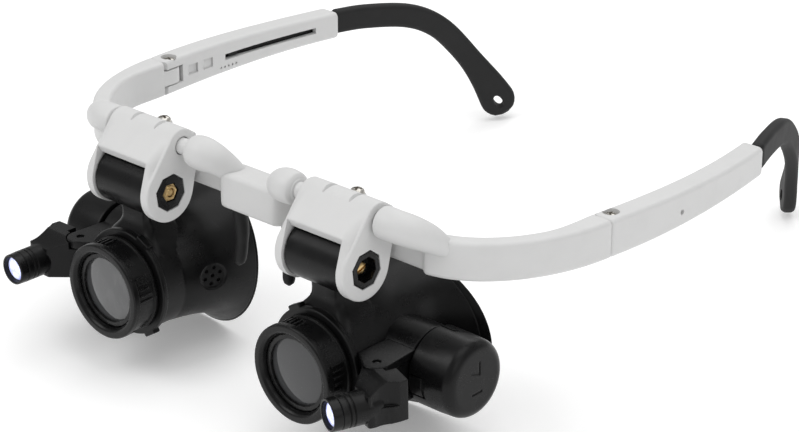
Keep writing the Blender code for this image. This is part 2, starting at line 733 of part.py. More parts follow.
def build_pivot_bush(flip, centre, name, way):
    """An eight-sided bush in an ear, with a journal that the loupe turns on. way is 1 outward."""
    face = BRACKET_HALF
    inside = BRACKET_HALF - EAR_THICKNESS + GAP
    plate = prism(circle((0.0, 0.0), OCTAGON_RADIUS - GAP, 8, OCTAGON_TURN),
                  *sorted((centre + way * inside, centre + way * face)), "X")
    bush = flip.piece(name, plate, "black_plastic")
    ends = sorted((centre + way * (inside + 0.5 * MM), centre + way * (inside - JOURNAL_LENGTH)))
    flip.join(bush, turned([(x, JOURNAL_RADIUS) for x in ends], (0.0, 0.0, 0.0), "X", 20))
    bore = sorted((centre + way * (face + THROUGH), centre + way * (inside - JOURNAL_LENGTH - THROUGH)))
    flip.cut(bush, turned(
        [(x, PIVOT_SCREW_RADIUS + FIT) for x in bore], (0.0, 0.0, 0.0), "X", 16))
    depth = SOCKET_DEPTH if way > 0 else NUT_HEIGHT + GAP
    sides = (8, OCTAGON_TURN) if way > 0 else (6, 0.0)
    radius = SOCKET_RADIUS if way > 0 else NUT_RADIUS + FIT
    pocket = sorted((centre + way * (face - depth), centre + way * (face + THROUGH)))
    flip.cut(bush, prism(circle((0.0, 0.0), radius, *sides), *pocket, "X"))


def build_pivot_screw(flip, centre, screw_name, nut_name):
    """The screw's head lies in the outer bush's socket, and its nut in the inner bush."""
    head = centre + BRACKET_HALF - SOCKET_DEPTH + GAP
    end = centre - BRACKET_HALF + 0.1 * MM
    flip.piece(screw_name, turned(
        [(end, PIVOT_SCREW_RADIUS), (head, PIVOT_SCREW_RADIUS), (head, PIVOT_HEAD_RADIUS),
         (head + 0.8 * MM, PIVOT_HEAD_RADIUS), (head + 1.2 * MM, PIVOT_HEAD_RADIUS * 0.6)],
        (0.0, 0.0, 0.0), "X", 14), "brass")
    nut = flip.piece(nut_name, prism(
        circle((0.0, 0.0), NUT_RADIUS, 6),
        centre - BRACKET_HALF, centre - BRACKET_HALF + NUT_HEIGHT, "X"), "brass")
    flip.cut(nut, turned(
        [(centre - BRACKET_HALF - THROUGH, PIVOT_SCREW_RADIUS + FIT),
         (centre - BRACKET_HALF + NUT_HEIGHT + THROUGH, PIVOT_SCREW_RADIUS + FIT)],
        (0.0, 0.0, 0.0), "X", 14))


def swell(share):
    """How far the bell has widened, 0 at the barrel to 1 at the rim."""
    return share * (1.6 - 0.6 * share)


def shell_ring(centre, station, radius):
    around = circle((0.0, 0.0), radius, SHELL_SIDES)
    return [(centre + u, station, v - OPTICAL_DROP) for u, v in around]


def bell_ring(centre, share, grow=0.0):
    """One section of the bell, round at the barrel and a raked oval at the eyecup's rim."""
    nose = mix(BARREL_RADIUS, EYECUP_NOSE, swell(share)) + grow
    temple = mix(BARREL_RADIUS, EYECUP_TEMPLE, share ** TEMPLE_FLARE) + grow
    above = mix(BARREL_RADIUS, EYECUP_HEIGHT, swell(share)) + grow
    below = mix(BARREL_RADIUS, EYECUP_HEIGHT, share ** BOTTOM_FLARE) + grow
    middle = mix(BELL_START, EYECUP_BACK, share)
    ring = []
    for u, v in circle((0.0, 0.0), 1.0, SHELL_SIDES):
        across = u * (temple if u > 0.0 else nose)
        up = v * (above if v > 0.0 else below)
        back = middle + share * (EYECUP_YAW * across + EYECUP_RAKE * up)
        ring.append((centre + across, back, up - OPTICAL_DROP - share * EYECUP_DROP))
    return ring


def bell_rings(centre, grow=0.0):
    return [bell_ring(centre, share, grow) for share in steps(BELL_STEPS)]


def build_loupe_shell(loupe, centre, name):
    """Spigot, flange, barrel and eyecup in one shell, with the pivot barrel on its neck."""
    outer = [
        (SPIGOT_FRONT, SPIGOT_RADIUS), (FLANGE_FRONT, SPIGOT_RADIUS), (FLANGE_FRONT, FLANGE_RADIUS),
        (FLANGE_BACK, FLANGE_RADIUS), (FLANGE_BACK, BARREL_RADIUS)]
    bore = SPIGOT_RADIUS - SHELL_WALL
    shell = loupe.piece(name, loft(
        [shell_ring(centre, *point) for point in outer] + bell_rings(centre)
        + bell_rings(centre, -SHELL_WALL)[::-1]
        + [shell_ring(centre, FLANGE_BACK, bore), shell_ring(centre, SPIGOT_FRONT, bore)],
        closed=True), "black_plastic")
    half = BRACKET_HALF - EAR_THICKNESS - GAP
    top = -OPTICAL_DROP + BARREL_RADIUS - 1.0 * MM
    neck = hull([(NECK_FRONT, top), (NECK_BACK, top), (NECK_FRONT + 1.0 * MM, -3.0 * MM),
                 (NECK_BACK - 1.0 * MM, -3.0 * MM)])
    loupe.join(shell, prism(neck, centre - NECK_HALF, centre + NECK_HALF, "X"))
    loupe.join(shell, turned(
        [(centre - half, PIVOT_RADIUS - 0.3 * MM), (centre - half + 0.3 * MM, PIVOT_RADIUS),
         (centre + half - 0.3 * MM, PIVOT_RADIUS), (centre + half, PIVOT_RADIUS - 0.3 * MM)],
        (0.0, 0.0, 0.0), "X", 28))
    loupe.cut(shell, turned(
        [(centre - half - THROUGH, JOURNAL_RADIUS + FIT), (centre + half + THROUGH, JOURNAL_RADIUS + FIT)],
        (0.0, 0.0, 0.0), "X", 20))
    cut_vents(loupe, shell, centre)


def cut_vents(loupe, shell, centre):
    """Seven holes in a round dish, in the side of the barrel that faces the nose."""
    share = (VENT_Y - BELL_START) / (EYECUP_BACK - BELL_START)
    face = centre - mix(BARREL_RADIUS, EYECUP_NOSE, swell(share))
    middle = Vector((face, VENT_Y, VENT_RISE - OPTICAL_DROP))
    outward = Vector((-1.0, -VENT_SLOPE, 0.0)).normalized()
    along = outward.cross(Vector((0.0, 0.0, 1.0)))
    loupe.cut(shell, loft([
        [middle + outward * height + along * u + Vector((0.0, 0.0, v))
         for u, v in circle((0.0, 0.0), VENT_DISH_RADIUS, 16)]
        for height in (-VENT_DISH_DEPTH, THROUGH)]))
    for u, v in [(0.0, 0.0), *circle((0.0, 0.0), VENT_PITCH, 6)]:
        loupe.cut(shell, turned(
            [(face - 2 * THROUGH, VENT_RADIUS), (face + 2 * THROUGH, VENT_RADIUS)],
            (0.0, VENT_Y + u, VENT_RISE - OPTICAL_DROP + v), "X", 6))


def build_lens_holder(turn, centre, name):
    rear = FLANGE_FRONT - GAP
    seat = LENS_FRONT + LENS_EDGE + GAP
    front = LENS_FRONT - RETAINER_HEIGHT - 2 * GAP
    bore = LENS_RADIUS + FIT
    profile = [
        (HOLDER_FRONT + 0.4 * MM, HOLDER_RADIUS), (HOLDER_FRONT + HOLDER_LIP, HOLDER_RADIUS),
        (HOLDER_FRONT + HOLDER_LIP + 0.3 * MM, HOLDER_BAND_RADIUS), (rear, HOLDER_BAND_RADIUS),
        (rear, SPIGOT_RADIUS + FIT), (SPIGOT_FRONT - GAP, SPIGOT_RADIUS + FIT),
        (SPIGOT_FRONT - GAP, RETAINER_BORE), (seat, RETAINER_BORE), (seat, bore), (front, bore),
        (HOLDER_FRONT, HOLDER_MOUTH), (HOLDER_FRONT, HOLDER_RADIUS - 0.4 * MM)]
    turn.piece(name, turned(
        profile, (centre, 0.0, -OPTICAL_DROP), "Y", 28, closed=True), "black_plastic")


def build_lens(turn, centre, lens_name, ring_name):
    back = LENS_FRONT + LENS_EDGE
    dome = [0.0, 0.5 * LENS_RADIUS, 0.85 * LENS_RADIUS]
    front = [(LENS_FRONT - LENS_CROWN * (1.0 - (r / LENS_RADIUS) ** 2), r) for r in dome]
    rear = [(back + 0.5 * LENS_CROWN * (1.0 - (r / LENS_RADIUS) ** 2), r) for r in dome[::-1]]
    turn.piece(lens_name, turned(
        [*front, (LENS_FRONT, LENS_RADIUS), (back, LENS_RADIUS), *rear],
        (centre, 0.0, -OPTICAL_DROP), "Y", 24), "glass")
    high = LENS_FRONT - GAP
    low = high - RETAINER_HEIGHT
    turn.piece(ring_name, turned(
        [(low, RETAINER_BORE), (low, LENS_RADIUS), (high, LENS_RADIUS), (high, RETAINER_BORE)],
        (centre, 0.0, -OPTICAL_DROP), "Y", 24, closed=True), "black_plastic")


def cells_end():
    return CELL_START + CELLS * (CELL_HEIGHT + GAP)


def cap_end():
    return cells_end() + SPRING_HEIGHT + GAP + CAP_WALL


def build_battery_case(loupe, centre, name):
    """A tube square to the barrel, saddled on it, with two leaves that hold the lamp's arm."""
    axis = (centre, CASE_Y, -OPTICAL_DROP)
    case = loupe.piece(name, turned(
        [(0.0, CASE_RADIUS), (CASE_END - 0.4 * MM, CASE_RADIUS), (CASE_END - 0.4 * MM, CASE_SPIGOT),
         (cells_end(), CASE_SPIGOT)], axis, "X", 28), "black_plastic")
    pin = (centre + LAMP_PIN_X, LAMP_PIN_Y)
    inner, behind, outer = centre + LAMP_WEB_CORNER[0], LAMP_WEB_CORNER[1], centre + CASE_END - 2 * GAP
    web = hull(circle(pin, LAMP_KNUCKLE, 20) + [
        (inner, LAMP_PIN_Y + GAP), (inner, behind), (outer, behind), (outer, pin[1] + 2 * LAMP_KNUCKLE)])
    for low in (LAMP_TOP - LAMP_LEAF, -LAMP_TOP):
        loupe.join(case, prism(web, low - OPTICAL_DROP, low + LAMP_LEAF - OPTICAL_DROP, "Z"))
    loupe.join(case, block(
        (inner, LAMP_PIN_Y + LAMP_STOP, -OPTICAL_DROP - LAMP_TOP + LAMP_LEAF / 2),
        (outer, behind, -OPTICAL_DROP + LAMP_TOP - LAMP_LEAF / 2)))
    flange = [(FLANGE_FRONT - THROUGH, FLANGE_RADIUS + GAP), (FLANGE_BACK + GAP, FLANGE_RADIUS + GAP)]
    far = [(x, y + 2 * CASE_RADIUS, z) for x, y, z in bell_ring(centre, 1.0, GAP)]
    loupe.cut(case, loft([
        shell_ring(centre, FLANGE_FRONT - 2 * THROUGH, BARREL_RADIUS + GAP),
        *bell_rings(centre, GAP), far]))
    loupe.cut(case, turned(flange, (centre, 0.0, -OPTICAL_DROP), "Y", SHELL_SIDES))
    loupe.cut(case, turned(
        [(CELL_START - 2 * GAP - 0.3 * MM, CELL_RADIUS + GAP), (cells_end() + THROUGH, CELL_RADIUS + GAP)],
        axis, "X", 24))
    loupe.cut(case, turned(
        [(-OPTICAL_DROP - 2 * LAMP_TOP, LAMP_PIN_RADIUS + FIT),
         (-OPTICAL_DROP + 2 * LAMP_TOP, LAMP_PIN_RADIUS + FIT)], (*pin, 0.0), "Z", 12))


def build_cells(loupe, centre, side_name):
    axis = (centre, CASE_Y, -OPTICAL_DROP)
    loupe.piece(f"{side_name}_contact_plate", turned(
        [(CELL_START - GAP - 0.3 * MM, 0.8 * CELL_RADIUS), (CELL_START - GAP, 0.8 * CELL_RADIUS)],
        axis, "X", 16), "steel")
    for i in range(CELLS):
        start = CELL_START + i * (CELL_HEIGHT + GAP)
        loupe.piece(f"{side_name}_cell_{i + 1}", turned(
            [(start, CELL_RADIUS), (start + CELL_HEIGHT - 0.5 * MM, CELL_RADIUS),
             (start + CELL_HEIGHT, 0.8 * CELL_RADIUS)], axis, "X", 20), "steel")


def build_battery_cap(cap, centre, cap_name, spring_name):
    axis = (centre, CASE_Y, -OPTICAL_DROP)
    end = cap_end()
    inside = CASE_SPIGOT + FIT
    rounding = arc((end - CAP_ROUND, CAP_RADIUS - CAP_ROUND), CAP_ROUND, 90.0, 0.0, 4)
    cap.piece(cap_name, turned(
        [(CASE_END, inside), (CASE_END, CAP_RADIUS - 0.3 * MM), (CASE_END + 0.3 * MM, CAP_RADIUS),
         *rounding, (end, 0.0), (end - CAP_WALL, 0.0), (end - CAP_WALL, inside)],
        axis, "X", 28, closed=True), "black_plastic")
    turns, per_turn = 2, 12
    start = cells_end()
    path = []
    for i in range(turns * per_turn + 1):
        share = i / (turns * per_turn)
        angle = 2.0 * math.pi * turns * share
        radius = mix(0.3, 0.7, share) * CELL_RADIUS
        height = mix(start + SPRING_WIRE, end - CAP_WALL - GAP - SPRING_WIRE, share)
        path.append(Vector((height + centre, CASE_Y + radius * math.cos(angle),
                            -OPTICAL_DROP + radius * math.sin(angle))))
    rings = [
        [point + side * u + height * v for u, v in circle((0.0, 0.0), SPRING_WIRE, 6)]
        for point, side, height in axes_along(path, Vector((1.0, 0.0, 0.0)))]
    cap.piece(spring_name, loft(rings), "steel")


def build_lamp(swing, centre, side_name):
    """An arm whose tongue turns between the case's leaves. Its round head holds a ring and the LED."""
    pin = (centre + LAMP_PIN_X, LAMP_PIN_Y)
    axis_x = pin[0] + LAMP_OFFSET
    head_front = LAMP_PIN_Y - LAMP_REACH
    head_back = head_front + BEZEL_LENGTH + GAP
    tongue = LAMP_TOP - LAMP_LEAF - GAP
    heel = LAMP_PIN_Y + LAMP_HEEL[1]
    body = hull(circle(pin, LAMP_KNUCKLE - 2 * GAP, 20) + [
        (axis_x + LAMP_HEEL[0], heel), (axis_x + LAMP_HEEL[0] + GAP, LAMP_PIN_Y),
        (axis_x + LAMP_RADIUS - GAP, LAMP_PIN_Y - LAMP_NECK), (axis_x - LAMP_RADIUS + GAP, LAMP_PIN_Y - LAMP_NECK)])
    arm = swing.piece(
        f"{side_name}_lamp_arm", prism(body, -OPTICAL_DROP - LAMP_RADIUS, -OPTICAL_DROP + LAMP_TOP, "Z"),
        "black_plastic")
    swing.join(arm, turned(
        [(head_back, LAMP_RADIUS), (LAMP_PIN_Y - 0.7 * LAMP_NECK, LAMP_RADIUS)],
        (axis_x, 0.0, -OPTICAL_DROP), "Y", 20))
    far = 3.0 * LAMP_TOP
    clear = circle(pin, LAMP_KNUCKLE + GAP, 24)
    beside = [(pin[0] - far, LAMP_PIN_Y - GAP), (pin[0] + LAMP_TONGUE, LAMP_PIN_Y - GAP),
              (pin[0] + LAMP_TONGUE, LAMP_PIN_Y + far), (pin[0] - far, LAMP_PIN_Y + far)]
    for low, high in ((tongue, far), (-far, -tongue)):
        for outline in (clear, beside):
            swing.cut(arm, prism(outline, low - OPTICAL_DROP, high - OPTICAL_DROP, "Z"))
    swing.cut(arm, turned(
        [(-OPTICAL_DROP - far, LAMP_PIN_RADIUS + FIT), (-OPTICAL_DROP + far, LAMP_PIN_RADIUS + FIT)],
        (*pin, 0.0), "Z", 12))
    neck = LAMP_PIN_Y - 0.7 * LAMP_NECK
    swing.cut(arm, prism(
        [(pin[0] - LAMP_KNUCKLE, neck - far), (axis_x + far, neck - far), (axis_x + far, neck - GAP),
         (pin[0] - LAMP_KNUCKLE, neck + 2 * GAP)],
        -OPTICAL_DROP + LAMP_RADIUS - GAP / 2, -OPTICAL_DROP + far, "Z"))
    bore = LED_RADIUS + FIT
    swing.cut(arm, turned(
        [(head_front - THROUGH, bore), (LAMP_PIN_Y - 7.0 * MM, bore)],
        (axis_x, 0.0, -OPTICAL_DROP), "Y", 16))
    swing.piece(f"{side_name}_lamp_bezel", turned(
        [(head_front, bore), (head_front, LAMP_RADIUS - 0.4 * MM), (head_front + 0.4 * MM, LAMP_RADIUS),
         (head_front + BEZEL_LENGTH, LAMP_RADIUS), (head_front + BEZEL_LENGTH, bore)],
        (axis_x, 0.0, -OPTICAL_DROP), "Y", 20, closed=True), "black_plastic")
    dome = arc((LED_RADIUS + 0.6 * MM, 0.0), LED_RADIUS, 180.0, 90.0, 4)
    swing.piece(f"{side_name}_led", turned(
        [(head_front + station, radius if radius > 1e-9 else 0.0) for station, radius in dome]
        + [(LAMP_PIN_Y - 7.0 * MM - GAP, LED_RADIUS)],
        (axis_x, 0.0, -OPTICAL_DROP), "Y", 14), "led")


def build_lamp_pin(loupe, centre, name):
    loupe.piece(name, turned(
        [(-OPTICAL_DROP - LAMP_TOP + GAP, LAMP_PIN_RADIUS), (-OPTICAL_DROP + LAMP_TOP - GAP, LAMP_PIN_RADIUS)],
        (centre + LAMP_PIN_X, LAMP_PIN_Y, 0.0), "Z", 12), "steel")


def build_temple(level, sign):
    word = SIDES[sign]
    temple = Holder(f"{word}_temple_fold", (hinge_x(), HINGE_Y, 0.0), level, sign)
    build_sleeve(temple, f"{word}_temple_sleeve")
    build_hinge_screw(temple, f"{word}_hinge_screw")
    start, _ = blade_line()
    slide = Holder(f"{word}_tip_slide", start, temple, sign)
    build_temple_tip(slide, f"{word}_temple_tip")


def build_loupe(level, sign):
    word = SIDES[sign]
    centre = PUPIL_DISTANCE / 2
    rod = (centre, ROD_Y, ROD_Z)
    slide = Holder(f"{word}_bracket_slide", rod, level, sign)
    build_rod_bush(slide, centre, f"{word}_rod_bush")
    flip = Holder(f"{word}_bracket_flip", rod, slide, sign)
    build_bracket(flip, centre, f"{word}_bracket")
    build_clamp_screw(flip, centre, f"{word}_clamp_screw")
    build_pivot_bush(flip, centre, f"{word}_outer_pivot_bush", 1)
    build_pivot_bush(flip, centre, f"{word}_inner_pivot_bush", -1)
    build_pivot_screw(flip, centre, f"{word}_pivot_screw", f"{word}_pivot_nut")
    loupe = Holder(f"{word}_loupe_tilt", (centre, 0.0, 0.0), flip, sign, (LOUPE_TILT, 0.0, 0.0))
    build_loupe_shell(loupe, centre, f"{word}_loupe_shell")
    build_battery_case(loupe, centre, f"{word}_battery_case")
    build_cells(loupe, centre, word)
    build_lamp_pin(loupe, centre, f"{word}_lamp_pin")
    optical = Holder(f"{word}_lens_turn", (centre, HOLDER_FRONT, -OPTICAL_DROP), loupe, sign)
    build_lens_holder(optical, centre, f"{word}_lens_holder")
    build_lens(optical, centre, f"{word}_lens", f"{word}_lens_retainer")
    cap = Holder(f"{word}_cap_turn", (centre + CASE_END, CASE_Y, -OPTICAL_DROP), loupe, sign)
    build_battery_cap(cap, centre, f"{word}_battery_cap", f"{word}_battery_spring")
    swing = Holder(
        f"{word}_lamp_swing", (centre + LAMP_PIN_X, LAMP_PIN_Y, -OPTICAL_DROP), loupe, sign,
        (0.0, 0.0, sign * LAMP_SWING[sign]))
    build_lamp(swing, centre, word)


def solid_points(words):
    """World points of the finished solids whose names hold one of the words."""
    graph = bpy.context.evaluated_depsgraph_get()
    points = []
    for item in bpy.context.scene.objects:
        if item.type == "MESH" and not item.hide_render and any(w in item.name for w in words):
            shape = item.evaluated_get(graph)
            mesh = shape.to_mesh()
            points += [shape.matrix_world @ vertex.co for vertex in mesh.vertices]
            shape.to_mesh_clear()
    return points


def set_down(level):
    """Pitches the level frame until eyecups and temple tips touch one plane, then lifts it to z = 0."""
    bpy.context.view_layer.update()
    front = solid_points(["loupe_shell"])
    rear = solid_points(["temple_tip"])

    def lowest(points, angle):
        return min(p.y * math.sin(angle) + p.z * math.cos(angle) for p in points)

    low, high = math.radians(-20.0), math.radians(20.0)
    for _ in range(40):
        middle = (low + high) / 2
        if lowest(rear, middle) > lowest(front, middle):
            high = middle
        else:
            low = middle
    turn = Matrix.Rotation(low, 3, "X")
    points = [turn @ p for p in solid_points([""])]
    sides = [(min(p[i] for p in points), max(p[i] for p in points)) for i in range(3)]
    level.empty.rotation_euler = (low, 0.0, 0.0)
    level.empty.location = (-sum(sides[0]) / 2, -sum(sides[1]) / 2, -sides[2][0])


def main():
    clear_scene()
    level = Holder("level_frame", (0.0, 0.0, 0.0))
    build_front_frame(level)
    for sign, word in SIDES.items():
        side = Holder(f"{word}_nose_side", (0.0, 0.0, 0.0), level, sign)
        build_nose_pad(side, f"{word}_nose_pad")
        build_temple(level, sign)
        build_loupe(level, sign)
    set_down(level)


main()
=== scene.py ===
"""Looks of a head visor magnifier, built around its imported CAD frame.

Every visible solid is drawn in millimetres in the level frame of the wearer's left side: +X is the
wearer's left, -Y the front and +Z up, with the origin midway between the loupe pivots. A Seat places
it in the row frame and mirrors it for the right side. Hidden inner parts keep their CAD mesh.
"""

from __future__ import annotations

import json
import logging
import math
from collections.abc import Callable, Iterable, Sequence
from dataclasses import dataclass, field
from enum import Enum

import bmesh
import bpy
from mathutils import Matrix, Vector

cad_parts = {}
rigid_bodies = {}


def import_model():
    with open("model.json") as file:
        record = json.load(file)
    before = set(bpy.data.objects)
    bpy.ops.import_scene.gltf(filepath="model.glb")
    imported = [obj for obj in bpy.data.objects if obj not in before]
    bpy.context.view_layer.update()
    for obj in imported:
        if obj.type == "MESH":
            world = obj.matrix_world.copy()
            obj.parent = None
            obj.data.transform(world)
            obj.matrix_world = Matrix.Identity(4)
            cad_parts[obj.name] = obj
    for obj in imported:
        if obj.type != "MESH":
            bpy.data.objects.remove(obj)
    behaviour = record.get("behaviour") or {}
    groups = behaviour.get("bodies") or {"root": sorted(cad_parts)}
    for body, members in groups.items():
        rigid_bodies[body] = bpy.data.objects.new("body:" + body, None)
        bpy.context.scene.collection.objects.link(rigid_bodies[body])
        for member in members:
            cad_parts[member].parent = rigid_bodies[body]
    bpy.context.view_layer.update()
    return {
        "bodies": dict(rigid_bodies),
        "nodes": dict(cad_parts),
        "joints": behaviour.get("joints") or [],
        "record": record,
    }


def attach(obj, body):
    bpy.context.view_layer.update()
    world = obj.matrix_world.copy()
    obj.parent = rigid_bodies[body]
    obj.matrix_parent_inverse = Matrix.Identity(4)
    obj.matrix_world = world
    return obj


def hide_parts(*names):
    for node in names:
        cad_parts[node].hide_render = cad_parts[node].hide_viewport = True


LOG = logging.getLogger("magnifier")
MM = 0.001
Plan = Sequence[tuple[float, float]]
Number = "float | Value"


class Side(Enum):
    """The wearer's two sides. The value is the sign of X."""

    LEFT = 1
    RIGHT = -1

    @property
    def word(self) -> str:
        """The side's name as the CAD nodes and bodies use it."""
        return self.name.lower()


class Axis(Enum):
    """The row axis that a form is extruded or turned along."""

    X = "X"
    Y = "Y"
    Z = "Z"

    def point(self, along: float, u: float, v: float) -> Vector:
        """A point at a station along the axis, with u and v across it in X, Y, Z order."""
        if self is Axis.X:
            return Vector((along, u, v))
        if self is Axis.Y:
            return Vector((u, along, v))
        return Vector((u, v, along))


# ---------------------------------------------------------------- plan geometry


def mix(start: float, end: float, share: float) -> float:
    """The value at a share of the way from start to end."""
    return start + (end - start) * share


def ease(share: float) -> float:
    """A share from 0 to 1 with level ends."""
    share = min(max(share, 0.0), 1.0)
    return share * share * (3.0 - 2.0 * share)


def steps(count: int) -> list[float]:
    """The shares from 0 to 1 in a number of equal steps."""
    return [i / count for i in range(count + 1)]


def circle(centre: tuple[float, float], radius: float, count: int, turn: float = 0.0) -> list[tuple[float, float]]:
    """Points round a circle.

    Args:
        centre: The middle of the circle.
        radius: Its radius.
        count: How many points.
        turn: The first point's angle in radians.

    Returns:
        The points, anticlockwise.
    """
    return [
        (centre[0] + radius * math.cos(turn + 2.0 * math.pi * i / count),
         centre[1] + radius * math.sin(turn + 2.0 * math.pi * i / count))
        for i in range(count)
    ]


def arc(centre: tuple[float, float], radius: float, start: float, end: float, count: int) -> list[tuple[float, float]]:
    """Points of an arc between two angles in degrees."""
    angles = [math.radians(mix(start, end, share)) for share in steps(count)]
    return [(centre[0] + radius * math.cos(a), centre[1] + radius * math.sin(a)) for a in angles]


def hull(points: Iterable[tuple[float, float]]) -> list[tuple[float, float]]:
    """The convex outline round some points, anticlockwise."""
    ordered = sorted(set(points))

    def chain(run: Iterable[tuple[float, float]]) -> list[tuple[float, float]]:
        """One side of the outline."""
        kept: list[tuple[float, float]] = []
        for point in run:
            while len(kept) > 1:
                (ax, ay), (bx, by) = kept[-2:]
                if (bx - ax) * (point[1] - ay) - (by - ay) * (point[0] - ax) > 1e-3:
                    break
                kept.pop()
            kept.append(point)
        return kept[:-1]

    return chain(ordered) + chain(ordered[::-1])


def rounded(points: Plan, radius: float | Sequence[float], closed: bool = True,
            count: int = 4) -> list[tuple[float, float]]:
    """A polyline with its corners rounded.

    Args:
        points: The corners in order.
        radius: One rounding length for all corners, or one for each.
        closed: Whether the last corner joins the first.
        count: How many steps each corner takes.

    Returns:
        The rounded line's points.
    """
    sizes = list(radius) if isinstance(radius, (list, tuple)) else [radius] * len(points)
    made: list[tuple[float, float]] = []
    last = len(points) - 1
    for i, corner in enumerate(points):
        here = Vector(corner)
        if sizes[i] <= 0.0 or (not closed and i in (0, last)):
            made.append(tuple(here))
            continue
        before, after = Vector(points[i - 1]), Vector(points[(i + 1) % len(points)])
        to_before, to_after = before - here, after - here
        reach = min(sizes[i], 0.48 * to_before.length, 0.48 * to_after.length)
        if reach < 1e-5:
            made.append(tuple(here))
            continue
        start = here + to_before.normalized() * reach
        end = here + to_after.normalized() * reach
        for t in steps(count):
            made.append(tuple(start * (1 - t) ** 2 + here * (2 * t * (1 - t)) + end * t ** 2))
    return made


def grown(outline: Plan, amount: float) -> list[tuple[float, float]]:
    """An anticlockwise outline moved outward by an amount, or inward when it is negative."""
    made = []
    for i, corner in enumerate(outline):
        here = Vector(corner)
        one = (here - Vector(outline[i - 1])).normalized()
        two = (Vector(outline[(i + 1) % len(outline)]) - here).normalized()
        normal = Vector((one.y + two.y, -one.x - two.x))
        if normal.length < 1e-9:
            normal = Vector((one.y, -one.x))
        normal.normalize()
        slant = max(0.5, normal.dot(Vector((one.y, -one.x))))
        made.append(tuple(here + normal * (amount / slant)))
    return made


def smooth_path(points: Sequence[Sequence[float]], pieces: int) -> list[Vector]:
    """Points along a Catmull-Rom curve through the given points."""
    kept = [Vector(p) for p in points]
    ends = [2.0 * kept[0] - kept[1], *kept, 2.0 * kept[-1] - kept[-2]]
    curve = [kept[0]]
    for a, b, c, d in zip(ends, ends[1:], ends[2:], ends[3:]):
        for t in steps(pieces)[1:]:
            curve.append(0.5 * (
                2.0 * b + (c - a) * t + (2.0 * a - 5.0 * b + 4.0 * c - d) * t ** 2
                + (3.0 * b - a - 3.0 * c + d) * t ** 3))
    return curve


def frames_along(path: Sequence[Vector], up: Vector = Vector((0.0, 0.0, 1.0))) -> list[tuple[Vector, Vector, Vector]]:
    """For each point of a path: itself, the side and the height direction square to the path."""
    made = []
    for i, point in enumerate(path):
        along = (path[min(i + 1, len(path) - 1)] - path[max(i - 1, 0)]).normalized()
        side = along.cross(up).normalized()
        made.append((point, side, side.cross(along)))
    return made


def slab_section(width: float, height: float, edge: float, count: int = 4) -> list[tuple[float, float]]:
    """A rectangle about the origin with rounded corners."""
    w, h = width / 2, height / 2
    edge = min(edge, 0.98 * w, 0.98 * h)
    corners = [(w - edge, -h + edge, -90.0), (w - edge, h - edge, 0.0), (-w + edge, h - edge, 90.0),
               (-w + edge, -h + edge, 180.0)]
    made: list[tuple[float, float]] = []
    for u, v, start in corners:
        made += arc((u, v), edge, start, start + 90.0, count)
    return made


# ---------------------------------------------------------------- solids


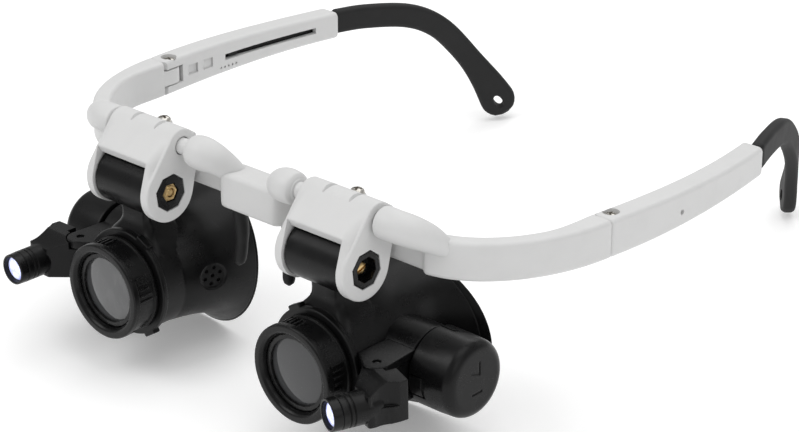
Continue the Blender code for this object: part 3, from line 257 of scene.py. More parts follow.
class Form:
    """A closed mesh in millimetres, in the level frame of the wearer's left side."""

    def __init__(self, mesh: bmesh.types.BMesh) -> None:
        """Takes over a bmesh and turns its faces outward."""
        bmesh.ops.recalc_face_normals(mesh, faces=mesh.faces)
        self.mesh = mesh

    @staticmethod
    def loft(rings: Sequence[Sequence[Sequence[float]]], closed: bool = False) -> "Form":
        """A solid through rings of points.

        Args:
            rings: The rings. A ring of one point closes to a tip.
            closed: Whether the last ring joins the first, as on a tube's wall.

        Returns:
            The solid.
        """
        mesh = bmesh.new()
        loops = [[mesh.verts.new(point) for point in ring] for ring in rings]
        pairs = list(zip(loops, loops[1:])) + ([(loops[-1], loops[0])] if closed else [])
        for first, second in pairs:
            count = max(len(first), len(second))
            if count == 1:
                continue
            for i in range(count):
                corners = []
                for loop, index in ((first, i), (first, i + 1), (second, i + 1), (second, i)):
                    vertex = loop[index % len(loop)]
                    if vertex not in corners:
                        corners.append(vertex)
                mesh.faces.new(corners)
        if not closed:
            for loop in (loops[0], loops[-1]):
                if len(loop) > 2:
                    mesh.faces.new(loop)
        return Form(mesh)

    @staticmethod
    def turned(profile: Plan, centre: Sequence[float], axis: Axis, count: int = 64,
               closed: bool = False, turn: float = 0.0) -> "Form":
        """A solid turned from (station, radius) points about an axis through the centre."""
        rings = []
        for station, radius in profile:
            around = circle((0.0, 0.0), radius, count, turn) if radius > 1e-6 else [(0.0, 0.0)]
            rings.append([axis.point(station, u, v) + Vector(centre) for u, v in around])
        return Form.loft(rings, closed)

    @staticmethod
    def prism(outline: Plan, low: float, high: float, axis: Axis, edge: float = 0.0) -> "Form":
        """An anticlockwise outline extruded between two stations, with its ends' edges rounded."""
        if edge <= 0.0:
            return Form.loft([[axis.point(w, u, v) for u, v in outline] for w in (low, high)])
        rings = []
        for t in steps(4):
            turn = t * math.pi / 2
            rings.append((low + edge * (1.0 - math.sin(turn)), -edge * (1.0 - math.cos(turn))))
        rings.reverse()
        far = [(low + high - s, i) for s, i in rings[::-1]]
        return Form.loft([
            [axis.point(station, u, v) for u, v in grown(outline, inset)]
            for station, inset in rings + far])

    @staticmethod
    def block(low: Sequence[float], high: Sequence[float], edge: float = 0.0) -> "Form":
        """A box between two corners, with rounded edges."""
        plan = [(low[0], low[1]), (high[0], low[1]), (high[0], high[1]), (low[0], high[1])]
        return Form.prism(rounded(plan, edge * 1.4), low[2], high[2], Axis.Z, edge)

    @staticmethod
    def bar(path: Sequence[Vector], sections: Callable[[float], Plan]) -> "Form":
        """A bar along a path. sections gives its section at a share of the path, as (side, height)."""
        last = len(path) - 1
        return Form.loft([
            [point + side * u + height * v for u, v in sections(i / last)]
            for i, (point, side, height) in enumerate(frames_along(path))])

    @staticmethod
    def tube(points: Sequence[Sequence[float]], radii: Sequence[float], pieces: int = 8, count: int = 32) -> "Form":
        """A round bar whose radius changes along a smooth path."""
        path = smooth_path(points, pieces)
        sizes = [size.x for size in smooth_path([(r, 0.0, 0.0) for r in radii], pieces)]
        return Form.loft([
            [point + side * u + height * v for u, v in circle((0.0, 0.0), size, count)]
            for (point, side, height), size in zip(frames_along(path), sizes)])

    def copy(self) -> "Form":
        """The same solid again."""
        return Form(self.mesh.copy())

    def mirrored(self) -> "Form":
        """The solid reflected to the other side of the object."""
        made = self.mesh.copy()
        bmesh.ops.scale(made, verts=made.verts, vec=(-1.0, 1.0, 1.0))
        return Form(made)

    def moved(self, matrix: Matrix) -> "Form":
        """The solid placed by a matrix, in millimetres."""
        self.mesh.transform(matrix)
        return self

    def beside(self, others: Iterable["Form"]) -> "Form":
        """This solid and others that don't touch it, as one set of bodies."""
        for other in others:
            spare = bpy.data.meshes.new("beside")
            other.mesh.to_mesh(spare)
            self.mesh.from_mesh(spare)
            bpy.data.meshes.remove(spare)
        return self

    def _combine(self, other: "Form", operation: str) -> "Form":
        """Applies an exact Boolean with another solid, with Blender's self and hole options where it needs them."""
        mine, tool = self.mesh.calc_volume(), other.mesh.calc_volume()
        low, high = (mine - tool, mine) if operation == "DIFFERENCE" else (max(mine, tool), mine + tool)
        slack = 0.01 * (mine + tool)
        pair = []
        for form in (self, other):
            mesh = bpy.data.meshes.new("boolean")
            form.mesh.to_mesh(mesh)
            item = bpy.data.objects.new("boolean", mesh)
            bpy.context.scene.collection.objects.link(item)
            pair.append(item)
        modifier = pair[0].modifiers.new("boolean", "BOOLEAN")
        modifier.operation, modifier.solver, modifier.object = operation, "EXACT", pair[1]
        for own, holes in ((False, False), (True, False), (False, True), (True, True)):
            modifier.use_self, modifier.use_hole_tolerant = own, holes
            graph = bpy.context.evaluated_depsgraph_get()
            result = bpy.data.meshes.new_from_object(pair[0].evaluated_get(graph))
            made = bmesh.new()
            made.from_mesh(result)
            bpy.data.meshes.remove(result)
            if low - slack <= made.calc_volume() <= high + slack and made.faces:
                break
            LOG.warning("boolean %s kept %.1f of %.1f mm3, tried again", operation, made.calc_volume(), mine)
        self.mesh.free()
        self.mesh = made
        bmesh.ops.remove_doubles(self.mesh, verts=self.mesh.verts, dist=1e-4)
        for item in pair:
            old = item.data
            bpy.data.objects.remove(item)
            bpy.data.meshes.remove(old)
        return self

    def cut(self, *tools: "Form") -> "Form":
        """Takes each tool's solid away."""
        for tool in tools:
            self._combine(tool, "DIFFERENCE")
        return self

    def join(self, *parts: "Form") -> "Form":
        """Adds each part's solid."""
        for part in parts:
            self._combine(part, "UNION")
        return self


@dataclass(frozen=True)
class Seat:
    """Where a drawn solid sits in the row frame: its axes, its side and a turn about a pin."""

    origin: Vector
    y: Vector
    z: Vector
    side: Side = Side.LEFT
    turn: float = 0.0
    pin: tuple[float, float] = (0.0, 0.0)

    def matrix(self) -> Matrix:
        """From millimetres in the drawn frame to metres in the row frame."""
        x = self.y.cross(self.z)
        axes = Matrix((x, self.y, self.z)).transposed().to_4x4()
        pin = Vector((*self.pin, 0.0))
        turned = Matrix.Translation(pin) @ Matrix.Rotation(self.turn, 4, "Z") @ Matrix.Translation(-pin)
        mirror = Matrix.Diagonal((float(self.side.value), 1.0, 1.0, 1.0))
        return Matrix.Translation(self.origin) @ axes @ Matrix.Scale(MM, 4) @ mirror @ turned

    def point(self, x: float, y: float, z: float) -> Vector:
        """A drawn point in the row frame."""
        return self.matrix() @ Vector((x, y, z))


@dataclass
class Workshop:
    """Turns forms into pieces that ride on the frame's bodies."""

    frame: dict
    finishes: dict[str, bpy.types.Material] = field(default_factory=dict)

    def finish(self, look: "Finish") -> bpy.types.Material:
        """The material of a finish, made once."""
        if look.name not in self.finishes:
            self.finishes[look.name] = look.material()
        return self.finishes[look.name]

    def piece(self, name: str, form: Form, seat: Seat, body: str, look: "Finish", nodes: Sequence[str] = (),
              crease: float = 38.0) -> bpy.types.Object:
        """Makes a visible piece.

        Args:
            name: The piece's name.
            form: Its solid, used up here.
            seat: Where it sits.
            body: The CAD body that it rides on.
            look: Its finish.
            nodes: CAD nodes that it stands for.
            crease: The angle in degrees above which an edge stays sharp.

        Returns:
            The new object.
        """
        form.mesh.transform(seat.matrix())
        bmesh.ops.recalc_face_normals(form.mesh, faces=form.mesh.faces)
        data = bpy.data.meshes.new(name)
        form.mesh.to_mesh(data)
        form.mesh.free()
        data.shade_smooth()
        data.set_sharp_from_angle(angle=math.radians(crease))
        made = bpy.data.objects.new(name, data)
        bpy.context.scene.collection.objects.link(made)
        data.materials.append(self.finish(look))
        even = made.modifiers.new("even_shading", "WEIGHTED_NORMAL")
        even.keep_sharp = True
        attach(made, body)
        if nodes:
            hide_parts(*nodes)
        LOG.info("%s: %d faces on body %s", name, len(data.polygons), body)
        return made

    def dress(self, node: str, look: "Finish") -> None:
        """Gives a CAD node that stays its own finish."""
        item = self.frame["nodes"][node]
        item.data.materials.clear()
        item.data.materials.append(self.finish(look))
        LOG.info("%s: CAD mesh kept, %s", node, look.name)


# ---------------------------------------------------------------- shader maths


class Value:
    """One number in a shader. Arithmetic on it adds Math nodes."""

    def __init__(self, recipe: "Recipe", socket: bpy.types.NodeSocket) -> None:
        """Wraps an output socket."""
        self.recipe, self.socket = recipe, socket

    def _math(self, operation: str, *terms: Number) -> "Value":
        """A Math node on the given terms."""
        made = self.recipe.node("ShaderNodeMath", {"operation": operation}, dict(enumerate(terms)))
        return Value(self.recipe, made.outputs[0])

    def __add__(self, other: Number) -> "Value":
        """The sum."""
        return self._math("ADD", self, other)

    def __radd__(self, other: float) -> "Value":
        """The sum, with a plain number first."""
        return self._math("ADD", other, self)

    def __sub__(self, other: Number) -> "Value":
        """The difference."""
        return self._math("SUBTRACT", self, other)

    def __rsub__(self, other: float) -> "Value":
        """The difference, with a plain number first."""
        return self._math("SUBTRACT", other, self)

    def __mul__(self, other: Number) -> "Value":
        """The product."""
        return self._math("MULTIPLY", self, other)

    def __rmul__(self, other: float) -> "Value":
        """The product, with a plain number first."""
        return self._math("MULTIPLY", other, self)

    def __truediv__(self, other: Number) -> "Value":
        """The quotient."""
        return self._math("DIVIDE", self, other)

    def __pow__(self, other: Number) -> "Value":
        """The power."""
        return self._math("POWER", self, other)

    def between(self, low: float, high: float) -> "Value":
        """0 below low, 1 above high and a smooth rise between them."""
        made = self.recipe.node(
            "ShaderNodeMapRange", {"interpolation_type": "SMOOTHSTEP"},
            {"Value": self, "From Min": low, "From Max": high, "To Min": 0.0, "To Max": 1.0})
        return Value(self.recipe, made.outputs[0])


class Recipe:
    """The node tree of one material, with its Principled shader."""

    def __init__(self, name: str) -> None:
        """Starts a material from a bare Principled shader."""
        self.material = bpy.data.materials.new(name)
        self.material.use_nodes = True
        self.tree = self.material.node_tree
        self.shader = self.tree.nodes["Principled BSDF"]
        self.place = self.node("ShaderNodeTexCoord").outputs["Object"]

    def node(self, kind: str, settings: dict | None = None, inputs: dict | None = None) -> bpy.types.Node:
        """Adds a node.

        Args:
            kind: The node's type.
            settings: Its settings. A ramp's stops are given as {"stops": [(place, colour), ...]}.
            inputs: Values or links by socket name or number.

        Returns:
            The new node.
        """
        made = self.tree.nodes.new(kind)
        for key, value in (settings or {}).items():
            if key == "stops":
                ramp = made.color_ramp
                while len(ramp.elements) < len(value):
                    ramp.elements.new(0.5)
                for element, (spot, colour) in zip(ramp.elements, value):
                    element.position, element.color = spot, colour
            else:
                setattr(made, key, value)
        for key, value in (inputs or {}).items():
            self.feed(made.inputs[key], value)
        return made

    def feed(self, socket: bpy.types.NodeSocket, value: object) -> None:
        """Links a socket to a Value or another socket, or sets its own number."""
        if isinstance(value, Value):
            value = value.socket
        if isinstance(value, bpy.types.NodeSocket):
            self.tree.links.new(value, socket)
        else:
            socket.default_value = value

    def noise(self, size_mm: float, detail: float = 2.0, roughness: float = 0.5,
              stretch: Sequence[float] | None = None) -> Value:
        """Soft random values from 0 to 1 whose features have about this size."""
        place: object = self.place
        if stretch:
            place = self.node("ShaderNodeMapping", None, {"Vector": place, "Scale": tuple(stretch)}).outputs[0]
        made = self.node("ShaderNodeTexNoise", None, {
            "Vector": place, "Scale": 1.0 / (size_mm * MM), "Detail": detail, "Roughness": roughness})
        return Value(self, made.outputs["Fac"])

    def cells(self, size_mm: float) -> Value:
        """The distance to the nearest of many scattered points."""
        made = self.node("ShaderNodeTexVoronoi", None, {"Vector": self.place, "Scale": 1.0 / (size_mm * MM)})
        return Value(self, made.outputs["Distance"])

    def edges(self) -> Value:
        """1 on the object's convex edges and 0 elsewhere."""
        made = self.node("ShaderNodeNewGeometry")
        return Value(self, made.outputs["Pointiness"]).between(0.53, 0.60)

    def blend(self, share: Number, first: Sequence[float] | bpy.types.NodeSocket,
              second: Sequence[float] | bpy.types.NodeSocket) -> bpy.types.NodeSocket:
        """A colour between two colours."""
        made = self.node("ShaderNodeMix", {"data_type": "RGBA"}, {0: share, 6: first, 7: second})
        return made.outputs[2]

    def relief(self, height: Value, depth_mm: float, soften_mm: float = 0.0) -> bpy.types.NodeSocket:
        """A normal from a height, over softened edges."""
        inputs: dict = {"Height": height, "Strength": 1.0, "Distance": depth_mm * MM}
        if soften_mm > 0.0:
            soft = self.node("ShaderNodeBevel", {"samples": 4}, {"Radius": soften_mm * MM})
            inputs["Normal"] = soft.outputs[0]
        return self.node("ShaderNodeBump", None, inputs).outputs[0]

    def set(self, **sockets: object) -> None:
        """Feeds the shader's sockets. An underscore in a name stands for a space."""
        for name, value in sockets.items():
            self.feed(self.shader.inputs[name.replace("_", " ")], value)


Rgb = tuple[float, float, float]


def opaque(colour: Rgb) -> tuple[float, float, float, float]:
    """A colour with full alpha."""
    return (*colour, 1.0)


@dataclass(frozen=True)
class Finish:
    """A finish by name."""

    name: str

    def material(self) -> bpy.types.Material:
        """The finish's material."""
        raise NotImplementedError


@dataclass(frozen=True)
class MouldedPlastic(Finish):
    """Injection-moulded plastic: spark-eroded grain, faint flow marks, handling marks, and convex edges lightened,
    partly as rubbed edges and partly as a painted highlight.
    """

    colour: Rgb
    marked: Rgb
    worn: Rgb
    roughness: float = 0.4
    spread: float = 0.08
    grain_mm: float = 0.22
    grain_depth_mm: float = 0.006
    soften_mm: float = 0.25
    specular: float = 0.5
    wear: float = 0.35

    def material(self) -> bpy.types.Material:
        """The finish's material."""
        recipe = Recipe(self.name)
        flow = recipe.noise(14.0, 3.0, 0.55, (1.0, 1.0, 2.2))
        smudge = recipe.noise(5.0, 4.0, 0.6).between(0.42, 0.72)
        speck = recipe.noise(0.45, 1.0).between(0.70, 0.80)
        grain = recipe.noise(self.grain_mm, 2.0, 0.6) * 0.7 + recipe.cells(self.grain_mm * 1.7) * 0.3
        # Convex edges are lightened towards a lighter colour and made a little glossier. This is partly real rubbed
        # edges and partly a painted highlight along them.
        edge = recipe.edges() * recipe.noise(1.3, 3.0).between(0.35, 0.65) * self.wear
        tone = recipe.blend(flow * 0.5 + smudge * 0.25 + speck * 0.15, opaque(self.colour), opaque(self.marked))
        recipe.set(
            Base_Color=recipe.blend(edge, tone, opaque(self.worn)),
            Roughness=self.roughness + (smudge - 0.5) * self.spread + (grain - 0.5) * 0.08 - edge * 0.08,
            Normal=recipe.relief(grain + flow * 0.6, self.grain_depth_mm, self.soften_mm),
            Specular_IOR_Level=self.specular)
        return recipe.material


@dataclass(frozen=True)
class SoftRubber(Finish):
    """Soft dark rubber: dull, with a fine pebbled skin and a little lint-grey bloom."""

    colour: Rgb
    bloom: Rgb
    roughness: float = 0.62

    def material(self) -> bpy.types.Material:
        """The finish's material."""
        recipe = Recipe(self.name)
        pebble = recipe.cells(0.32) * 0.6 + recipe.noise(0.16, 1.0) * 0.4
        cloud = recipe.noise(7.0, 4.0, 0.6).between(0.4, 0.75)
        recipe.set(
            Base_Color=recipe.blend(cloud * 0.6 + pebble * 0.15, opaque(self.colour), opaque(self.bloom)),
            Roughness=self.roughness + cloud * 0.08 - recipe.edges() * 0.06,
            Normal=recipe.relief(pebble, 0.012, 0.25), Specular_IOR_Level=0.35)
        return recipe.material


@dataclass(frozen=True)
class TurnedMetal(Finish):
    """Turned or plated metal: fine tool marks, a darker film in the hollows, small scuffs."""

    colour: Rgb
    film: Rgb
    roughness: float = 0.28

    def material(self) -> bpy.types.Material:
        """The finish's material."""
        recipe = Recipe(self.name)
        marks = recipe.noise(0.5, 3.0, 0.6, (0.25, 3.0, 3.0))
        scuff = recipe.noise(0.8, 4.0, 0.65).between(0.45, 0.75)
        recipe.set(
            Base_Color=recipe.blend(scuff * 0.55 + marks * 0.2, opaque(self.colour), opaque(self.film)),
            Metallic=1.0, Roughness=self.roughness + scuff * 0.16 + marks * 0.06,
            Normal=recipe.relief(marks + scuff * 0.5, 0.008, 0.12))
        return recipe.material


@dataclass(frozen=True)
class PolishedLens(Finish):
    """Clear moulded glass drawn nearly opaque with a dark colour, which is painted shade for the loupe's shaded inside
    seen through it, with a faint coating and a trace of dust.
    """

    tint: Rgb

    def material(self) -> bpy.types.Material:
        """The finish's material."""
        recipe = Recipe(self.name)
        dust = recipe.noise(0.25, 2.0).between(0.68, 0.78)
        haze = recipe.noise(4.0, 3.0).between(0.4, 0.8)
        # The dark base colour and the low transmission paint the shade of the loupe's inside as seen through the
        # glass.
        recipe.set(
            Base_Color=recipe.blend(dust * 0.3, opaque(self.tint), (0.3, 0.3, 0.3, 1.0)),
            Roughness=0.02 + haze * 0.03 + dust * 0.2, Transmission_Weight=0.04, IOR=1.49, Coat_Weight=0.1,
            Specular_IOR_Level=0.35)
        return recipe.material


@dataclass(frozen=True)
class LampGlow(Finish):
    """A lit, bluish-white lamp whose hot middle shows through its clear dome."""

    middle: Rgb
    rim: Rgb
    strength: float

    def material(self) -> bpy.types.Material:
        """The finish's material."""
        recipe = Recipe(self.name)
        swirl = recipe.noise(1.6, 2.0, 0.5)
        fleck = recipe.noise(0.5, 2.0, 0.6).between(0.4, 0.7)
        glow = recipe.blend(swirl.between(0.35, 0.65) * 0.8 + fleck * 0.2, opaque(self.middle), opaque(self.rim))
        recipe.set(
            Base_Color=glow, Emission_Color=glow, Roughness=0.08 + fleck * 0.06, Emission_Strength=self.strength,
            Coat_Weight=0.5)
        return recipe.material


# The third colour of each plastic is the lighter colour of its convex edges. It is partly rubbed edges and partly a
# painted highlight.
WHITE = MouldedPlastic("white_plastic", (0.69, 0.69, 0.687), (0.64, 0.64, 0.637), (0.80, 0.80, 0.80), 0.46, 0.06,
                       0.30, 0.003, 0.35, 0.4, 0.3)
BLACK = MouldedPlastic("black_plastic", (0.004, 0.004, 0.0042), (0.007, 0.007, 0.0072), (0.03, 0.03, 0.03), 0.33,
                       0.10, 0.24, 0.004, 0.35, 0.2, 0.3)
BLACK_RING = MouldedPlastic("black_ring_plastic", (0.004, 0.004, 0.0042), (0.007, 0.007, 0.0072),
                            (0.03, 0.03, 0.03), 0.3, 0.08, 0.24, 0.003, 0.22, 0.22, 0.35)
RUBBER = SoftRubber("black_rubber", (0.008, 0.008, 0.0082), (0.016, 0.016, 0.0165))
STEEL = TurnedMetal("plated_steel", (0.60, 0.58, 0.54), (0.32, 0.30, 0.27), 0.24)
BRASS = TurnedMetal("brass", (0.66, 0.47, 0.22), (0.30, 0.19, 0.08), 0.26)
CELL = TurnedMetal("cell_can", (0.62, 0.62, 0.62), (0.42, 0.42, 0.42), 0.3)
# The lens's dark colour is painted shade: the shaded inside of the loupe seen through clear glass.
GLASS = PolishedLens("lens_glass", (0.06, 0.061, 0.063))
GLOW = LampGlow("lamp_glow", (0.74, 0.78, 1.0), (0.38, 0.42, 0.92), 0.8)


# ---------------------------------------------------------------- front frame


@dataclass
class FrontFrame:
    """The white moulding: bridge, rails, rods with their bulbs, and end pieces with hinge leaves."""

    bridge_front: float = 4.5
    bridge_half: float = 8.0
    bridge_low: float = -1.5
    bridge_high: float = 7.4
    rail_front: float = 9.6
    rail_back: float = 12.6
    rail_high: float = 5.2
    rail_start: float = 14.0
    rail_end: float = 50.5
    low: float = -1.0
    high: float = 8.3
    wall: float = 4.6
    end_wall: float = 6.2
    centre: tuple[float, float] = (50.0, 46.0)
    size: tuple[float, float] = (27.0, 38.0)
    start_angle: float = math.radians(6.0)
    end_y: float = 43.3
    rod: tuple[float, float] = (4.2, 10.7)
    rod_radius: float = 2.0
    rod_start: float = 17.5
    rod_end: float = 43.6
    bulb: float = 4.1
    collar: float = 3.8
    hinge_y: float = 47.3
    hinge_inset: float = 3.6
    hinge_radius: float = 2.6
    leaf: float = 4.0
    edge: float = 1.1

    def corner(self, angle: float) -> tuple[Vector, Vector]:
        """A point on the outer face of the corner in plan, and the direction inward from it."""
        (cx, cy), (width, depth) = self.centre, self.size
        point = Vector((cx + width * math.sin(angle), cy - depth * math.cos(angle)))
        inward = Vector((-depth * math.sin(angle), width * math.cos(angle))).normalized()
        return point, inward

    def end_angle(self) -> float:
        """The angle at which the corner meets the temple."""
        return math.acos((self.centre[1] - self.end_y) / self.size[1])

    def outer_x(self) -> float:
        """The outer face of the frame's end."""
        return self.corner(self.end_angle())[0].x

    def hinge_x(self) -> float:
        """The hinge axis."""
        return self.outer_x() - self.hinge_inset

    def leaf_heights(self) -> tuple[float, float]:
        """The bottom and top of the hinge's middle leaf."""
        middle = (self.low + self.high) / 2
        return middle - self.leaf / 2, middle + self.leaf / 2

    def ring(self, front: Sequence[float], back: Sequence[float], low: float, high: float) -> list[Vector]:
        """One section of the band between its front and back points in plan."""
        start, end = Vector((*front, 0.0)), Vector((*back, 0.0))
        across, up = (end - start).normalized(), Vector((0.0, 0.0, 1.0))
        wall, tall = (end - start).length, high - low
        middle = (start + end) / 2 + up * (low + high) / 2
        return [middle + across * u + up * v for u, v in slab_section(wall, tall, self.edge)]

    def rings(self) -> list[list[Vector]]:
        """The sections of the band's left half, from the bridge to the temple."""
        made = [self.ring((x, self.bridge_front), (x, self.rail_back), self.bridge_low, self.bridge_high)
                for x in (0.0, self.bridge_half - 1.0)]
        for t in steps(8):
            soft = ease(t)
            x = mix(self.bridge_half, self.rail_start, t)
            made.append(self.ring(
                (x, mix(self.bridge_front, self.rail_front, soft)), (x, self.rail_back),
                mix(self.bridge_low, self.low, soft), mix(self.bridge_high, self.rail_high, soft)))
        made.append(self.ring((self.rail_end - 1.0, self.rail_front), (self.rail_end - 1.0, self.rail_back),
                              self.low, self.rail_high))
        first = self.corner(self.start_angle)
        for t in steps(3):
            soft = ease(t)
            x = mix(self.rail_end, first[0].x, t)
            back = first[0] + first[1] * self.wall
            made.append(self.ring(
                (x, mix(self.rail_front, first[0].y, soft)),
                (mix(self.rail_end, back.x, t), mix(self.rail_back, back.y, soft)),
                self.low, mix(self.rail_high, self.high, soft)))
        for t in steps(36)[1:]:
            point, inward = self.corner(mix(self.start_angle, self.end_angle(), t))
            back = point + inward * mix(self.wall, self.end_wall, ease(3.0 * t - 2.0))
            if t == 1.0:
                back.y = point.y
            made.append(self.ring(point, back, self.low, self.high))
        return made

    def inner_bulb(self) -> Form:
        """The swelling at the rod's inner end, which runs back and down into the rail."""
        y, z = self.rod
        start, size = self.rod_start, self.bulb
        return Form.tube(
            [(7.4, y + 6.2, z - 6.2), (9.0, y + 3.8, z - 3.6), (11.2, y + 1.2, z - 1.0), (13.8, y, z),
             (start - 1.0, y, z), (start - 0.35, y, z), (start, y, z)],
            [size - 1.9, size - 1.1, size - 0.4, size, size - 0.25, size - 0.7, size - 1.3])

    def outer_bulb(self) -> Form:
        """The collar at the rod's outer end, whose tail sinks into the end piece."""
        y, z = self.rod
        end, size = self.rod_end, self.collar
        return Form.tube(
            [(end, y, z), (end + 0.3, y, z), (end + 1.0, y, z), (end + 4.2, y, z), (end + 7.8, y + 1.4, z - 0.7),
             (end + 10.8, y + 4.2, z - 2.5), (end + 13.4, y + 7.4, z - 5.3)],
            [size - 1.2, size - 0.5, size, size, size - 0.1, size - 0.6, size - 1.8])

    def collars(self) -> Form:
        """The short necks between the rod and its two bulbs."""
        y, z = self.rod
        necks = []
        for low, high in ((self.rod_end - 0.4, self.rod_end + 2.0), (self.rod_start - 2.0, self.rod_start + 0.3)):
            profile = rounded([(low, 0.0), (low, 2.7), (high, 2.7), (high, 0.0)], 0.35, closed=False)
            necks.append(Form.turned(profile, (0.0, y, z), Axis.X, 40))
        return necks[0].beside(necks[1:])

    def build(self, shop: Workshop, seat: Seat) -> None:
        """Builds the front frame."""
        half = self.rings()
        other = [[Vector((-p.x, p.y, p.z)) for p in ring] for ring in half[:0:-1]]
        band = Form.loft(other + half)
        x = self.hinge_x()
        low, high = self.leaf_heights()
        leaf = hull(circle((x, self.hinge_y), self.hinge_radius, 48) + [
            (x - self.hinge_radius, self.end_y - 4.0), (x + self.hinge_radius, self.end_y - 4.0)])
        rod = [(self.rod_start - 2.0, 0.0), (self.rod_start - 2.0, self.rod_radius),
               (self.rod_end + 2.0, self.rod_radius), (self.rod_end + 2.0, 0.0)]
        parts = [
            self.inner_bulb(), Form.turned(rod, (0.0, *self.rod), Axis.X, 40), self.outer_bulb(), self.collars(),
            Form.prism(leaf, low, high, Axis.Z, 0.25)]
        tools = [
            Form.turned([(low - 2, 0.0), (low - 2, 1.1), (high + 2, 1.1), (high + 2, 0.0)],
                        (x, self.hinge_y, 0.0), Axis.Z, 32),
            Form.block((6.4, 7.6, self.bridge_low - 2.0), (10.4, 11.6, self.bridge_low + 2.9))]
        for part in parts:
            band.join(part.copy(), part.mirrored())
        for tool in tools:
            band.cut(tool.copy(), tool.mirrored())
        shop.piece("front_frame_moulding", band, seat, "frame", WHITE, ["front_frame"])


@dataclass
class NosePad:
    """A soft finger below the bridge."""

    x: float = 8.4
    y: float = 9.6
    top: float = -1.8
    length: float = 16.0
    half: float = 1.5
    stub: float = 2.6

    def build(self, shop: Workshop, seat: Seat) -> None:
        """Builds the pad of the seat's side."""
        rings = []
        shape = [(self.top + self.stub, 0.98, 0.0, 0.9), (self.top + 0.02, 0.98, 0.0, 0.9)]
        for t in steps(24):
            swell = 1.0 + 0.18 * math.sin(math.pi * min(t * 1.6, 1.0))
            tip = math.sqrt(max(0.0, 1.0 - max(0.0, (t - 0.88) / 0.12) ** 2))
            shape.append((self.top - self.length * t, swell * (0.25 + 0.75 * tip), 0.6 * math.sin(math.pi * t), 0.55))
        for z, scale, bow, square in shape:
            side = 2.0 * self.half * scale
            rings.append([(self.x - bow + u, self.y + bow + v, z)
                          for u, v in slab_section(side, side, side * (1.0 - square) + 0.3)])
        shop.piece(f"{seat.side.word}_nose_finger", Form.loft(rings), seat, "frame", RUBBER,
                   [f"{seat.side.word}_nose_pad"])


# ---------------------------------------------------------------- temples


class Recess(Enum):
    """The drive in a screw's head."""

    CROSS = "cross"
    SLOT = "slot"
    NONE = "none"


@dataclass
class Screw:
    """A turned screw with a domed head and a drive."""

    shank: float
    head: float
    height: float
    recess: Recess = Recess.CROSS

    def form(self, start: float, seat_at: float, centre: Sequence[float], axis: Axis) -> Form:
        """The screw from its tip at start to its head on seat_at, along an axis."""
        way = 1.0 if seat_at > start else -1.0
        dome = [(seat_at + way * self.height * math.sin(a), self.head * math.cos(a) ** 0.7)
                for a in (math.radians(d) for d in (0, 18, 36, 54, 70, 82))]
        profile = [(start, 0.0), (start, self.shank * 0.7), (start + way * 0.3, self.shank)]
        count = max(2, int(abs(seat_at - start) / 0.5))
        for i in range(1, count):
            at = mix(start + way * 0.3, seat_at, i / count)
            profile += [(at, self.shank), (at + way * 0.12, self.shank - 0.12), (at + way * 0.24, self.shank)]
        profile += [(seat_at, self.shank), (seat_at, self.head - 0.05)] + dome + [(seat_at + way * self.height, 0.0)]
        made = Form.turned(profile, centre, axis, 36)
        top = seat_at + way * self.height
        reach, depth = self.head * 0.62, self.height * 0.6
        arms = {Recess.CROSS: (0.0, 90.0), Recess.SLOT: (0.0,), Recess.NONE: ()}[self.recess]
        for angle in arms:
            half = 0.16 * self.head
            long = reach if self.recess is Recess.CROSS else 1.2 * self.head
            bar = [(-long, -half), (long, -half), (long, half), (-long, half)]
            turn = math.radians(angle + 25.0)
            plan = [(u * math.cos(turn) - v * math.sin(turn), u * math.sin(turn) + v * math.cos(turn)) for u, v in bar]
            low, high = sorted((top - way * depth, top + way * 1.0))
            tool = Form.prism(plan, low, high, axis)
            tool.moved(Matrix.Translation(Vector(centre)))
            made.cut(tool)
        return made


